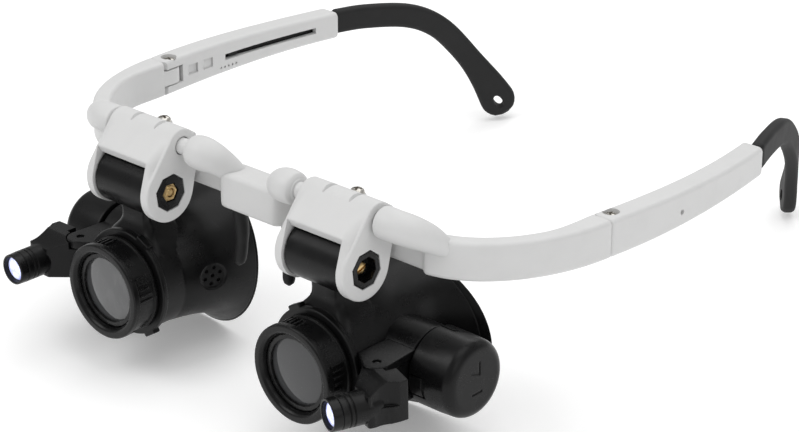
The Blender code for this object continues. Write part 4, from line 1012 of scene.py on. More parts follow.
@dataclass
class Temple:
    """The white sleeve with its hinge fork and screw, and the tip that slides in it."""

    frame: FrontFrame
    length: float = 60.4
    wall: float = 6.2
    rise: float = 1.0
    drop: float = 3.1
    rear_low: float = 0.0
    rear_high: float = 7.3
    gap: float = 0.3
    blade_length: float = 42.0
    blade_width: float = 2.0
    blade_height: float = 4.2
    blade_inset: float = 2.75
    travel: float = 20.0
    slot: float = 1.6
    tip_width: float = 3.4
    tip_height: float = 6.6
    paddle: float = 10.5
    eyelet: float = 1.3

    def outer_x(self, share: float) -> float:
        """The sleeve's outer face at a share of its length."""
        bend = 2.0 * (self.rise + math.sqrt(self.rise ** 2 + self.rise * self.drop))
        return self.frame.outer_x() + bend * share - (self.drop + bend) * share ** 2

    def y(self, share: float) -> float:
        """The station at a share of the sleeve's length."""
        return self.frame.end_y + self.gap + self.length * share

    def blade_line(self) -> tuple[Vector, Vector]:
        """The blade's front end and the direction that it slides in."""
        z = (self.rear_low + self.rear_high) / 2
        near = 1.0 - (self.blade_length + self.gap) / self.length
        first, last = (Vector((self.outer_x(t) - self.blade_inset, self.y(t), z)) for t in (near, 1.0))
        return first, (last - first).normalized()

    def sleeve(self) -> Form:
        """The sleeve with its fork, slot, windows and detents."""
        rings = []
        for t in [0.0, 0.004, 0.012, *[mix(0.03, 0.985, s) for s in steps(30)], 0.994, 1.0]:
            pull = 0.45 * max(0.0, 1.0 - t / 0.012, 1.0 - (1.0 - t) / 0.012) ** 2
            outer, y = self.outer_x(t), self.y(t)
            rings.append(self.frame.ring(
                (outer - pull, y), (outer - self.wall + pull, y),
                mix(self.frame.low, self.rear_low, ease(t)) + pull,
                mix(self.frame.high, self.rear_high, ease(t)) - pull))
        made = Form.loft(rings)
        frame, x = self.frame, self.frame.hinge_x()
        low, high = frame.leaf_heights()
        front, inner, fork = self.y(0.0) - 2.0, x - 3.0 * self.wall, frame.hinge_radius + self.gap
        outline = hull(circle((x, frame.hinge_y), fork, 48) + [
            (inner, front), (x + fork, front), (inner, frame.hinge_y + fork)])
        swing = frame.hinge_y - self.y(0.0)
        corner = [(inner, front), (x, front), *arc((x, frame.hinge_y), swing, -90.0, -180.0, 16),
                  (inner, frame.hinge_y)]
        start, along = self.blade_line()
        channel = [start - along * self.gap, start + along * (self.blade_length + 2.0)]
        first = start + along * 4.0
        last = first + along * (self.travel + 11.0)
        inward = Vector((-self.wall, 0.0, 0.0))
        made.cut(
            Form.prism(outline, low - self.gap, high + self.gap, Axis.Z),
            Form.prism(corner[::-1], frame.low - 2.0, frame.high + 2.0, Axis.Z),
            Form.turned([(high + 0.8, 0.0), (high + 0.9, 2.0), (frame.high + 2.0, 2.0), (frame.high + 2.0, 0.0)],
                        (x, frame.hinge_y, 0.0), Axis.Z, 40),
            Form.turned([(low - 1.5, 0.0), (low - 1.5, 1.1), (frame.high + 2.0, 1.1), (frame.high + 2.0, 0.0)],
                        (x, frame.hinge_y, 0.0), Axis.Z, 32),
            Form.bar(channel, lambda _: slab_section(self.blade_width + 0.5, self.blade_height + 0.5, 0.3)),
            Form.bar([first + inward / 2, last + inward / 2],
                     lambda _: slab_section(self.wall, self.slot, 0.5)))
        self._details(made)
        return made

    def _details(self, sleeve: Form) -> None:
        """Cuts the pin hole, the two small windows and the detents."""
        middle = (self.frame.low + self.frame.high) / 2
        at = self.outer_x(0.4)
        sleeve.cut(Form.turned([(at - 1.2, 0.0), (at - 1.2, 0.55), (at + 1.0, 0.7), (at + 1.0, 0.0)],
                               (0.0, self.y(0.4), middle - 0.6), Axis.X, 24))
        inner = self.outer_x(0.12) - self.wall
        for share in (0.145, 0.235):
            y = self.y(share)
            sleeve.cut(Form.block((inner - 1.0, y, middle - 1.3), (inner + 0.9, y + 3.4, middle + 1.3)))
        for i in range(5):
            share = 0.34 + 0.022 * i
            x = self.outer_x(share) - self.wall
            sleeve.cut(Form.turned([(x - 1.0, 0.0), (x - 1.0, 0.32), (x + 0.35, 0.32), (x + 0.35, 0.0)],
                                   (0.0, self.y(share), middle - 2.6), Axis.X, 16))

    def tip_form(self) -> Form:
        """The blade, its peg, the curved tip and the eyelet in its paddle."""
        start, along = self.blade_line()
        shoulder = start + along * ((self.y(1.0) + 4 * self.gap - start.y) / along.y)
        offsets = ((0.0, 0.0, 0.0), (-3.4, 9.0, 0.0), (-8.0, 20.5, -1.6), (-11.4, 28.5, -5.6),
                   (-14.2, 35.2, -12.8), (-18.4, 41.4, -23.0), (-22.4, 45.8, -33.2))
        path = smooth_path([shoulder + Vector(offset) for offset in offsets], 14)
        run = [0.0]
        for a, b in zip(path, path[1:]):
            run.append(run[-1] + (b - a).length)
        last, half = len(path) - 1, self.paddle / 2

        def section(share: float) -> Plan:
            """The tip's section: taller at the paddle, drawn in at both ends."""
            s = run[round(share * last)]
            left = run[-1] - s
            tall = mix(self.tip_height, self.paddle, ease(3.4 * share - 2.4)) - 0.1
            if left < half:
                tall *= math.sqrt(max(0.04, 1.0 - (1.0 - left / half) ** 2 * 0.92))
            lead = 0.5 * max(0.0, 1.0 - s / 0.6) ** 2
            wide = self.tip_width - 1.6 * max(0.0, 1.0 - left / 0.7) ** 2
            return slab_section(wide - lead, tall - lead, 1.2, 6)

        made = Form.bar(path, section)
        blade = [start, path[0] + along * 1.5]
        peg = start + along * 6.0 + Vector((-1.0, 0.0, 0.0))
        made.join(
            Form.bar(blade, lambda _: slab_section(self.blade_width, self.blade_height, 0.3)),
            Form.bar([peg, peg + along * 3.0], lambda _: slab_section(2.0, self.slot - 0.5, 0.3)))
        spot = next(i for i, s in enumerate(run) if run[-1] - s < 4.6)
        point, side, height = frames_along(path)[spot]
        down = height.cross(side)
        made.cut(Form.loft([
            [point + side * way + height * u * 0.9 + down * 1.5 * v
             for u, v in circle((0.0, 0.0), self.eyelet, 40)] for way in (-4.0, 4.0)]))
        return made

    def build(self, shop: Workshop, seat: Seat) -> None:
        """Builds the temple of the seat's side."""
        word, x = seat.side.word, self.frame.hinge_x()
        shop.piece(f"{word}_sleeve_moulding", self.sleeve(), seat, f"{word}_temple", WHITE, [f"{word}_temple_sleeve"])
        low, high = self.frame.leaf_heights()
        screw = Screw(0.9, 1.8, 1.1).form(low - 1.2, high + 1.2, (x, self.frame.hinge_y, 0.0), Axis.Z)
        shop.piece(f"{word}_hinge_pan_screw", screw, seat, f"{word}_temple", STEEL, [f"{word}_hinge_screw"])
        shop.piece(f"{word}_tip_moulding", self.tip_form(), seat, f"{word}_tip", RUBBER, [f"{word}_temple_tip"])


# ---------------------------------------------------------------- bracket


@dataclass
class Bracket:
    """The white yoke that clamps on the rod, its bushes, and the screws."""

    frame: FrontFrame
    centre: float = 32.0
    half: float = 10.87
    ear: float = 2.4
    ear_radius: float = 7.4
    knuckle: float = 4.2
    lip: tuple[float, float] = (-5.5, 8.6)
    back: float = 8.8
    back_low: float = 4.3
    back_high: float = 12.9
    clamp_y: float = 8.3
    boss: float = 2.1
    boss_depth: float = 2.4
    pivot: float = 6.9
    octagon: float = 4.68
    turn: float = math.radians(30.0)
    journal: float = 3.0
    socket_depth: float = 2.6

    def outline(self, lip: float) -> list[tuple[float, float]]:
        """The yoke's section, with its front lip from 0 (flush with the ear) to 1 (in full)."""
        y, z = self.frame.rod
        flush = (-self.ear_radius * 0.62, self.ear_radius * 0.55)
        front = (mix(flush[0], self.lip[0], lip), mix(flush[1], self.lip[1], lip))
        corners = hull(circle((0.0, 0.0), self.ear_radius, 96) + circle((y, z), self.knuckle, 64)
                       + rounded([front, (self.back, self.back_low), (self.back, self.back_high)], 0.5))
        middle = Vector((1.0, 4.5))
        ring = []
        for i in range(240):
            angle = 2.0 * math.pi * i / 240
            way = Vector((math.cos(angle), math.sin(angle)))
            for one, two in zip(corners, corners[1:] + corners[:1]):
                a, edge = Vector(one) - middle, Vector(two) - Vector(one)
                across = way.x * edge.y - way.y * edge.x
                if abs(across) < 1e-9:
                    continue
                reach = (a.x * edge.y - a.y * edge.x) / across
                share = (a.x * way.y - a.y * way.x) / across
                if reach > 0.0 and -1e-7 <= share <= 1.0 + 1e-7:
                    ring.append(tuple(middle + way * reach))
                    break
        return ring

    def body(self) -> Form:
        """The yoke, whose lip curves into its ears."""
        y, z = self.frame.rod
        soft, edge = 2.6, 0.45
        ends = []
        for t in steps(4):
            turn = t * math.pi / 2
            ends.append((edge * (1.0 - math.sin(turn)), -edge * (1.0 - math.cos(turn)), 0.0))
        ends = ends[::-1]
        for t in steps(7)[1:]:
            turn = t * math.pi / 2
            ends.append((edge + soft * (1.0 - math.cos(turn)), 0.0, math.sin(turn)))
        near = [(self.centre - self.half + s, i, lip) for s, i, lip in ends]
        far = [(self.centre + self.half - s, i, lip) for s, i, lip in ends[::-1]]
        made = Form.loft([
            [Axis.X.point(station, u, v) for u, v in grown(self.outline(lip), inset)]
            for station, inset, lip in near + far])
        inside, clear, out = self.half - self.ear, self.pivot + 0.6, 2.0 * self.ear_radius
        face = math.degrees(math.atan2(self.lip[1], self.lip[0]))
        between = [
            *arc((0.0, 0.0), clear, face, math.degrees(math.asin(self.back_low / clear)), 40),
            (out, self.back_low), (out, -out), (-out, -out), (out * self.lip[0] / self.lip[1], out)]
        made.cut(Form.prism(between[::-1], self.centre - inside, self.centre + inside, Axis.X))
        boss = hull(circle((self.centre, self.clamp_y), self.boss, 40)
                    + [(self.centre + way * self.boss, y) for way in (-1, 1)])
        made.join(Form.prism(boss, z - self.boss_depth, self.back_high - 0.3, Axis.Z, 0.2))
        fit, bush = self.frame.rod_radius + 0.25, self.frame.rod_radius + 1.1
        low, high = self.centre - self.half - 2, self.centre + self.half + 2
        bore = [(low, 0.0), (low, fit), (self.centre - 6.4, fit), (self.centre - 6.4, bush),
                (self.centre + 6.4, bush), (self.centre + 6.4, fit), (high, fit), (high, 0.0)]
        made.cut(
            self._disc(self.back_high - 0.3, self.back_high + 4.0, 2.1),
            Form.turned(bore, (0.0, y, z), Axis.X, 48),
            Form.block((low, y, z - 0.3), (high, self.back + 6, z + 0.3)),
            self._disc(z - 6.0, z + 6.0, 1.1),
            Form.prism(circle((0.0, 0.0), self.octagon, 8, self.turn), low, high, Axis.X))
        for way in (-1, 1):
            x = self.centre + way * 4.1
            top = z + self.knuckle
            made.cut(Form.loft([
                [(x + u, at, top - 1.0 + v) for u, v in ((-0.85, 1.6), (-0.12, 0.0), (0.12, 0.0), (0.85, 1.6))]
                for at in (y - 3.6, y + 1.8)]))
        return made

    def _disc(self, low: float, high: float, radius: float) -> Form:
        """A round tool on the clamp screw's axis."""
        return Form.turned([(low, 0.0), (low, radius), (high, radius), (high, 0.0)],
                           (self.centre, self.clamp_y, 0.0), Axis.Z, 40)

    def bush(self, way: int) -> Form:
        """An eight-sided bush with its journal and its socket. way is 1 for the outer ear."""
        face, inside = self.half, self.half - self.ear + 0.3
        low, high = sorted((self.centre + way * inside, self.centre + way * face))
        made = Form.prism(circle((0.0, 0.0), self.octagon - 0.18, 8, self.turn), low, high, Axis.X, 0.15)
        ends = sorted((self.centre + way * (inside + 0.5), self.centre + way * (inside - 2.6)))
        made.join(Form.turned([(ends[0], 0.0), (ends[0], self.journal), (ends[1], self.journal), (ends[1], 0.0)],
                              (0.0, 0.0, 0.0), Axis.X, 48))
        bore = sorted((self.centre + way * (face + 2), self.centre + way * (inside - 4.6)))
        made.cut(Form.turned([(bore[0], 0.0), (bore[0], 1.2), (bore[1], 1.2), (bore[1], 0.0)],
                             (0.0, 0.0, 0.0), Axis.X, 32))
        depth, radius, sides, turn = (self.socket_depth, 3.1, 8, self.turn) if way > 0 else (1.7, 2.5, 6, 0.0)
        pocket = sorted((self.centre + way * (face - depth), self.centre + way * (face + 2)))
        made.cut(Form.prism(circle((0.0, 0.0), radius, sides, turn), *pocket, Axis.X))
        return made

    def nut(self) -> Form:
        """The brass nut in the inner bush, with a raised round collar."""
        low = self.centre - self.half
        made = Form.prism(circle((0.0, 0.0), 2.3, 6), low + 0.25, low + 1.4, Axis.X, 0.15)
        ring = rounded([(low + 0.02, 1.1), (low + 0.02, 1.75), (low + 0.8, 1.95), (low + 0.8, 1.1)], 0.2)
        made.join(Form.turned(ring, (0.0, 0.0, 0.0), Axis.X, 40, closed=True))
        return made.cut(Form.turned([(low - 2, 0.0), (low - 2, 1.15), (low + 4, 1.15), (low + 4, 0.0)],
                                    (0.0, 0.0, 0.0), Axis.X, 32))

    def build(self, shop: Workshop, seat: Seat) -> None:
        """Builds the bracket of the seat's side."""
        word = seat.side.word
        body = f"{word}_bracket"
        shop.piece(f"{word}_yoke_moulding", self.body(), seat, body, WHITE, [f"{word}_bracket"])
        clamp = Screw(0.9, 1.8, 1.25).form(self.frame.rod[1] - self.boss_depth, self.back_high, (
            self.centre, self.clamp_y, 0.0), Axis.Z)
        shop.piece(f"{word}_clamp_pan_screw", clamp, seat, body, STEEL, [f"{word}_clamp_screw"])
        for way, name in ((1, "outer"), (-1, "inner")):
            shop.piece(f"{word}_{name}_octagon_bush", self.bush(way), seat, body, BLACK_RING,
                       [f"{word}_{name}_pivot_bush"])
        screw = Screw(1.0, 1.7, 1.0, Recess.SLOT).form(
            self.centre - self.half + 0.1, self.centre + self.half - self.socket_depth + 0.3, (0.0, 0.0, 0.0), Axis.X)
        shop.piece(f"{word}_pivot_slot_screw", screw, seat, body, BRASS, [f"{word}_pivot_screw"])
        shop.piece(f"{word}_pivot_hex_nut", self.nut(), seat, body, BRASS, [f"{word}_pivot_nut"])
        shop.dress(f"{word}_rod_bush", BLACK_RING)


# ---------------------------------------------------------------- loupe


@dataclass
class LoupeShell:
    """The black shell: pivot barrel, neck, flange, barrel and the raked oval eyecup."""

    centre: float = 32.0
    drop: float = 24.4
    wall: float = 1.4
    spigot_front: float = -8.2
    spigot: float = 10.2
    flange_front: float = -6.3
    flange_back: float = -4.7
    flange: float = 13.4
    barrel: float = 12.7
    bell_start: float = 1.0
    cup_back: float = 22.2
    cup_drop: float = 0.6
    cup_nose: float = 18.2
    cup_temple: float = 26.2
    cup_height: float = 19.0
    yaw: float = 0.096
    rake: float = 0.09
    flare: float = 5.5
    low_flare: float = 3.0
    sides: int = 112
    pivot: float = 6.9
    pivot_half: float = 8.17
    vent_y: float = 8.2
    vent_rise: float = 1.0
    vent_slope: float = 0.31

    def swell(self, share: float) -> float:
        """How far the bell has widened, 0 at the barrel to 1 at the rim."""
        return share * (1.6 - 0.6 * share)

    def round_ring(self, station: float, radius: float) -> list[tuple[float, float, float]]:
        """A round section about the optical axis."""
        return [(self.centre + u, station, v - self.drop) for u, v in circle((0.0, 0.0), radius, self.sides)]

    def bell_ring(self, share: float, grow: float = 0.0) -> list[tuple[float, float, float]]:
        """A section of the bell: round at the barrel, a raked oval at the rim."""
        nose = mix(self.barrel, self.cup_nose, self.swell(share)) + grow
        temple = mix(self.barrel, self.cup_temple, share ** self.flare) + grow
        above = mix(self.barrel, self.cup_height, self.swell(share)) + grow
        below = mix(self.barrel, self.cup_height, share ** self.low_flare) + grow
        middle = mix(self.bell_start, self.cup_back, share)
        ring = []
        for u, v in circle((0.0, 0.0), 1.0, self.sides):
            across, up = u * (temple if u > 0.0 else nose), v * (above if v > 0.0 else below)
            back = middle + share * (self.yaw * across + self.rake * up)
            ring.append((self.centre + across, back, up - self.drop - share * self.cup_drop))
        return ring

    def outer_body(self, grow: float = 0.0) -> Form:
        """The barrel and bell filled solid, for cutting what is saddled on them."""
        far = [(x, y + 12.0, z) for x, y, z in self.bell_ring(1.0, grow)]
        return Form.loft([
            self.round_ring(self.flange_front - 4.0, self.barrel + grow),
            *[self.bell_ring(t, grow) for t in steps(24)], far])

    def form(self) -> Form:
        """The shell."""
        profile = rounded(
            [(self.spigot_front, self.spigot - self.wall), (self.spigot_front, self.spigot),
             (self.flange_front, self.spigot), (self.flange_front, self.flange),
             (self.flange_back, self.flange), (self.flange_back, self.barrel), (self.bell_start, self.barrel)],
            [0.0, 0.25, 0.0, 0.45, 0.45, 0.9, 0.0], closed=False)
        outer = [self.round_ring(*point) for point in profile[:-1]]
        rim = [(0.965, 0.0), (0.968, 0.35), (0.975, 0.45), (0.992, 0.45), (0.998, 0.3), (1.0, 0.0)]
        outer += [self.bell_ring(t * 0.96) for t in steps(28)]
        outer += [self.bell_ring(t, grow - 0.45) for t, grow in rim]
        inner = [(1.0, -self.wall + 0.3), (0.995, -self.wall), *[(t * 0.98, -self.wall) for t in steps(24)[::-1]]]
        inside = [self.bell_ring(t, grow) for t, grow in inner]
        inside.append(self.round_ring(self.flange_back, self.spigot - self.wall))
        made = Form.loft(outer + inside, closed=True)
        neck = []
        for z, wide, front, back, edge in (
                (-3.0, 4.8, -3.0, 4.4, 1.6), (-6.6, 4.8, -2.8, 4.6, 1.6), (-8.0, 4.8, -2.7, 4.8, 1.6),
                (-9.4, 5.0, -2.8, 5.4, 1.8), (-10.6, 5.6, -3.1, 6.2, 2.0), (-11.6, 6.4, -3.6, 7.0, 2.2),
                (-12.6, 7.4, -4.1, 7.8, 2.4), (-13.8, 8.4, -4.5, 8.6, 2.6), (-15.6, 9.5, -4.7, 9.4, 2.8),
                (-17.4, 10.6, -4.7, 10.0, 3.0)):
            plan = slab_section(2.0 * wide, back - front, edge, 6)
            neck.append([(self.centre + u, (front + back) / 2 + v, z) for u, v in plan])
        made.join(Form.loft(neck))
        half = self.pivot_half
        drum = rounded([(-half, 0.0), (-half, self.pivot), (half, self.pivot), (half, 0.0)], 0.35, closed=False)
        made.join(Form.turned([(self.centre + s, r) for s, r in drum], (0.0, 0.0, 0.0), Axis.X, 96))
        made.cut(Form.turned([(self.centre - half - 2, 0.0), (self.centre - half - 2, 3.2),
                              (self.centre + half + 2, 3.2), (self.centre + half + 2, 0.0)],
                             (0.0, 0.0, 0.0), Axis.X, 48))
        self._lugs(made)
        self._vents(made)
        return made

    def _lugs(self, shell: Form) -> None:
        """Adds the small bayonet lugs on the flange."""
        for angle in (118.0, 238.0, 358.0):
            turn = Matrix.Translation((self.centre, 0.0, -self.drop)) @ Matrix.Rotation(
                math.radians(-angle), 4, "Y")
            lug = Form.block((self.flange - 1.6, self.flange_front + 0.1, -2.0),
                             (self.flange + 0.75, self.flange_back + 0.5, 2.0), 0.3)
            shell.join(lug.moved(turn))

    def _vents(self, shell: Form) -> None:
        """Cuts seven holes in a round dish, in the side that faces the nose."""
        share = (self.vent_y - self.bell_start) / (self.cup_back - self.bell_start)
        face = self.centre - mix(self.barrel, self.cup_nose, self.swell(share))
        middle = Vector((face, self.vent_y, self.vent_rise - self.drop))
        outward = Vector((-1.0, -self.vent_slope, 0.0)).normalized()
        along = outward.cross(Vector((0.0, 0.0, 1.0)))
        dish = [(-0.55, 2.9), (-0.45, 3.25), (-0.1, 3.55), (0.6, 3.7), (2.0, 3.9)]
        shell.cut(Form.loft([
            [middle + outward * height + along * u + Vector((0.0, 0.0, v))
             for u, v in circle((0.0, 0.0), radius, 64)] for height, radius in dish]))
        for u, v in [(0.0, 0.0), *circle((0.0, 0.0), 2.1, 6, 0.3)]:
            spot = middle + along * u + Vector((0.0, 0.0, v))
            shell.cut(Form.loft([
                [spot + outward * height + along * a + Vector((0.0, 0.0, b))
                 for a, b in circle((0.0, 0.0), radius, 24)]
                for height, radius in ((-1.15, 0.5), (3.0, 0.52))]))

    def build(self, shop: Workshop, seat: Seat) -> None:
        """Builds the shell of the seat's side."""
        word = seat.side.word
        shop.piece(f"{word}_shell_moulding", self.form(), seat, f"{word}_loupe", BLACK, [f"{word}_loupe_shell"])


@dataclass
class LensUnit:
    """The lens holder with its grip ribs, the lens and the retaining ring."""

    shell: LoupeShell
    front: float = -14.0
    lip: float = 1.7
    radius: float = 12.0
    band: float = 11.5
    mouth: float = 9.7
    lens: float = 9.2
    lens_front: float = -11.4
    lens_edge: float = 1.3
    bore: float = 8.2
    turn: float = 10.0

    def holder(self) -> Form:
        """The holder, turned and ribbed."""
        shell = self.shell
        rear = shell.flange_front - 0.3
        seat, inner = self.lens_front + self.lens_edge + 0.3, shell.spigot + 0.2
        profile = rounded(
            [(self.front, self.radius - 0.1), (self.front + self.lip, self.radius), (self.front + self.lip, self.band),
             (rear - 0.9, self.band), (rear - 0.9, self.band + 0.35), (rear, self.band + 0.35), (rear, inner),
             (shell.spigot_front - 0.3, inner), (shell.spigot_front - 0.3, self.bore), (seat, self.bore),
             (seat, self.lens + 0.2), (self.lens_front - 1.3, self.lens + 0.2), (self.front + 0.5, self.mouth),
             (self.front, self.mouth + 0.5)],
            [0.55, 0.45, 0.2, 0.2, 0.15, 0.15, 0.1, 0.1, 0.2, 0.1, 0.1, 0.2, 0.3, 0.3], count=5)
        centre = (shell.centre, 0.0, -shell.drop)
        made = Form.turned(profile, centre, Axis.Y, 112, closed=True)
        for group in (0.0, 90.0, 180.0, 270.0):
            for i in range(5):
                turn = Matrix.Translation(centre) @ Matrix.Rotation(
                    -math.radians(group + self.turn + 7.0 * (i - 2)), 4, "Y")
                rib = Form.block((self.band - 0.5, self.front + self.lip + 0.5, -0.24),
                                 (self.band + 0.42, rear - 2.9 + 0.35 * i, 0.24), 0.12)
                made.join(rib.moved(turn))
        return made

    def glass(self) -> Form:
        """The lens, bulged at the front and less so behind."""
        back = self.lens_front + self.lens_edge
        dome = [self.lens * math.sin(math.radians(a)) for a in range(0, 90, 6)]
        front = [(self.lens_front - 0.85 * (1.0 - (r / self.lens) ** 2), r) for r in dome]
        rear = [(back + 0.4 * (1.0 - (r / self.lens) ** 2), r) for r in dome[::-1]]
        return Form.turned([*front, (self.lens_front, self.lens), (back, self.lens), *rear],
                           (self.shell.centre, 0.0, -self.shell.drop), Axis.Y, 96)

    def build(self, shop: Workshop, seat: Seat) -> None:
        """Builds the lens unit of the seat's side."""
        word = seat.side.word
        body = f"{word}_lens"
        shop.piece(f"{word}_holder_moulding", self.holder(), seat, body, BLACK_RING, [f"{word}_lens_holder"])
        shop.piece(f"{word}_lens_glass", self.glass(), seat, body, GLASS, [f"{word}_lens"])
        shop.dress(f"{word}_lens_retainer", BLACK_RING)


@dataclass
class Battery:
    """The battery case saddled on the shell, its bayonet cap, and the lamp's hinge leaves."""

    shell: LoupeShell
    y: float = 11.4
    radius: float = 8.9
    end: float = 20.9
    spigot: float = 7.9
    cell: float = 5.8
    cell_start: float = 19.4
    cells_end: float = 29.45
    cap: float = 9.5
    cap_wall: float = 1.4
    cap_end: float = 33.15
    pin: tuple[float, float] = (17.9, -4.7)
    leaf_radius: float = 3.3
    leaf: float = 2.0
    top: float = 6.0

    def axis(self) -> tuple[float, float, float]:
        """A point on the tube's axis."""
        return (self.shell.centre, self.y, -self.shell.drop)

    def case(self) -> Form:
        """The tube, with the two leaves that hold the lamp's arm."""
        shell = self.shell
        made = Form.turned(rounded(
            [(6.0, 0.0), (6.0, self.radius), (self.end - 0.7, self.radius), (self.end - 0.7, self.spigot),
             (self.cells_end, self.spigot), (self.cells_end, 0.0)], [0, 0, 0.4, 0.1, 0.2, 0], closed=False),
            self.axis(), Axis.X, 96)
        pin = (shell.centre + self.pin[0], self.pin[1])
        inner, behind, outer = shell.centre + 11.8, 6.0, shell.centre + self.end - 0.6
        web = hull(circle(pin, self.leaf_radius, 64) + [
            (inner, pin[1] + 0.3), (inner, behind), (outer, behind), (outer, pin[1] + 2 * self.leaf_radius)])
        for low in (self.top - self.leaf, -self.top):
            made.join(Form.prism(web, low - shell.drop, low + self.leaf - shell.drop, Axis.Z, 0.3))
        made.join(Form.block((inner, pin[1] + 3.9, -self.top + 1.0 - shell.drop),
                             (outer, behind, self.top - 1.0 - shell.drop), 0.1))
        made.cut(shell.outer_body(-0.5))
        flange = [(shell.flange_front - 3.0, 0.0), (shell.flange_front - 3.0, shell.flange + 0.1),
                  (shell.flange_back + 0.1, shell.flange + 0.1), (shell.flange_back + 0.1, 0.0)]
        made.cut(Form.turned(flange, (shell.centre, 0.0, -shell.drop), Axis.Y, 96))
        made.cut(Form.turned([(self.cell_start - 0.9, 0.0), (self.cell_start - 0.9, self.cell + 0.3),
                              (self.cells_end + 2, self.cell + 0.3), (self.cells_end + 2, 0.0)],
                             self.axis(), Axis.X, 64))
        made.cut(Form.turned([(-self.top - 2, 0.0), (-self.top - 2, 1.0), (self.top + 2, 1.0), (self.top + 2, 0.0)],
                             (*pin, -shell.drop), Axis.Z, 32))
        return made

    def pin_form(self) -> Form:
        """The lamp's pin, a little below the leaf's face."""
        reach = self.top - 0.35
        profile = rounded([(-reach, 0.0), (-reach, 0.8), (reach, 0.8), (reach, 0.0)], 0.2, closed=False)
        return Form.turned(profile, (self.shell.centre + self.pin[0], self.pin[1], -self.shell.drop), Axis.Z, 32)

    def _arched(self, start: float, end: float, low: float, high: float, depth: float) -> Form:
        """A curved slot tool on the cap's side, between two stations and two angles in degrees."""
        rings = []
        for angle in [mix(low, high, t) for t in steps(14)]:
            turn = math.radians(angle)
            rings.append([
                (self.shell.centre + s, self.y + r * math.cos(turn), -self.shell.drop + r * math.sin(turn))
                for s, r in ((start, self.cap - depth), (end, self.cap - depth), (end, self.cap + 1),
                             (start, self.cap + 1))])
        return Form.loft(rings)

    def cap_form(self) -> Form:
        """The cap: rounded end, stepped bayonet panels, and a plain arrow and bar on its face."""
        inside = self.spigot + 0.2
        end = self.cap_end
        profile = [(self.end, inside), (self.end, self.cap - 0.5), (self.end + 0.15, self.cap - 0.15),
                   (self.end + 0.5, self.cap),
                   (self.end + 6.6, self.cap), *arc((end - 2.6, self.cap - 2.75), 2.6, 88.0, 4.0, 10),
                   (end, self.cap - 3.0), (end, 0.0), (end - self.cap_wall, 0.0), (end - self.cap_wall, inside)]
        made = Form.turned(profile, self.axis(), Axis.X, 112, closed=True)
        for start in (50.0, 170.0, 290.0):
            made.cut(self._arched(self.end - 1.0, self.end + 4.4, start, start + 3.0, 0.4))
            made.cut(self._arched(self.end + 4.0, self.end + 4.7, start, start + 34.0, 0.4))
            made.cut(self._arched(self.end - 1.0, self.end + 4.4, start + 31.0, start + 34.0, 0.4))
        made.cut(self._mark([(-1.9, 1.2), (0.2, -1.8), (2.3, 1.2), (1.5, 1.2), (0.2, -0.7), (-1.1, 1.2)], 2.4, 0.6),
                 self._mark([(-1.7, -0.3), (1.7, -0.3), (1.7, 0.3), (-1.7, 0.3)], -3.0, 0.0))
        return made

    def _mark(self, plan: Plan, up: float, turn: float) -> Form:
        """A shallow mark's tool on the cap's end face."""
        spot = [(u * math.cos(turn) - v * math.sin(turn), u * math.sin(turn) + v * math.cos(turn)) for u, v in plan]
        end = self.shell.centre + self.cap_end
        return Form.prism([(self.y + u, -self.shell.drop + up + v) for u, v in spot], end - 0.22, end + 1.0, Axis.X)

    def build(self, shop: Workshop, seat: Seat) -> None:
        """Builds the battery parts of the seat's side."""
        word = seat.side.word
        shop.piece(f"{word}_case_moulding", self.case(), seat, f"{word}_loupe", BLACK, [f"{word}_battery_case"])
        shop.piece(f"{word}_lamp_hinge_pin", self.pin_form(), seat, f"{word}_loupe", BLACK_RING, [f"{word}_lamp_pin"])
        shop.piece(f"{word}_cap_moulding", self.cap_form(), seat, f"{word}_cap", BLACK, [f"{word}_battery_cap"])
        for i in (1, 2, 3):
            shop.dress(f"{word}_cell_{i}", CELL)
        shop.dress(f"{word}_contact_plate", STEEL)
        shop.dress(f"{word}_battery_spring", STEEL)


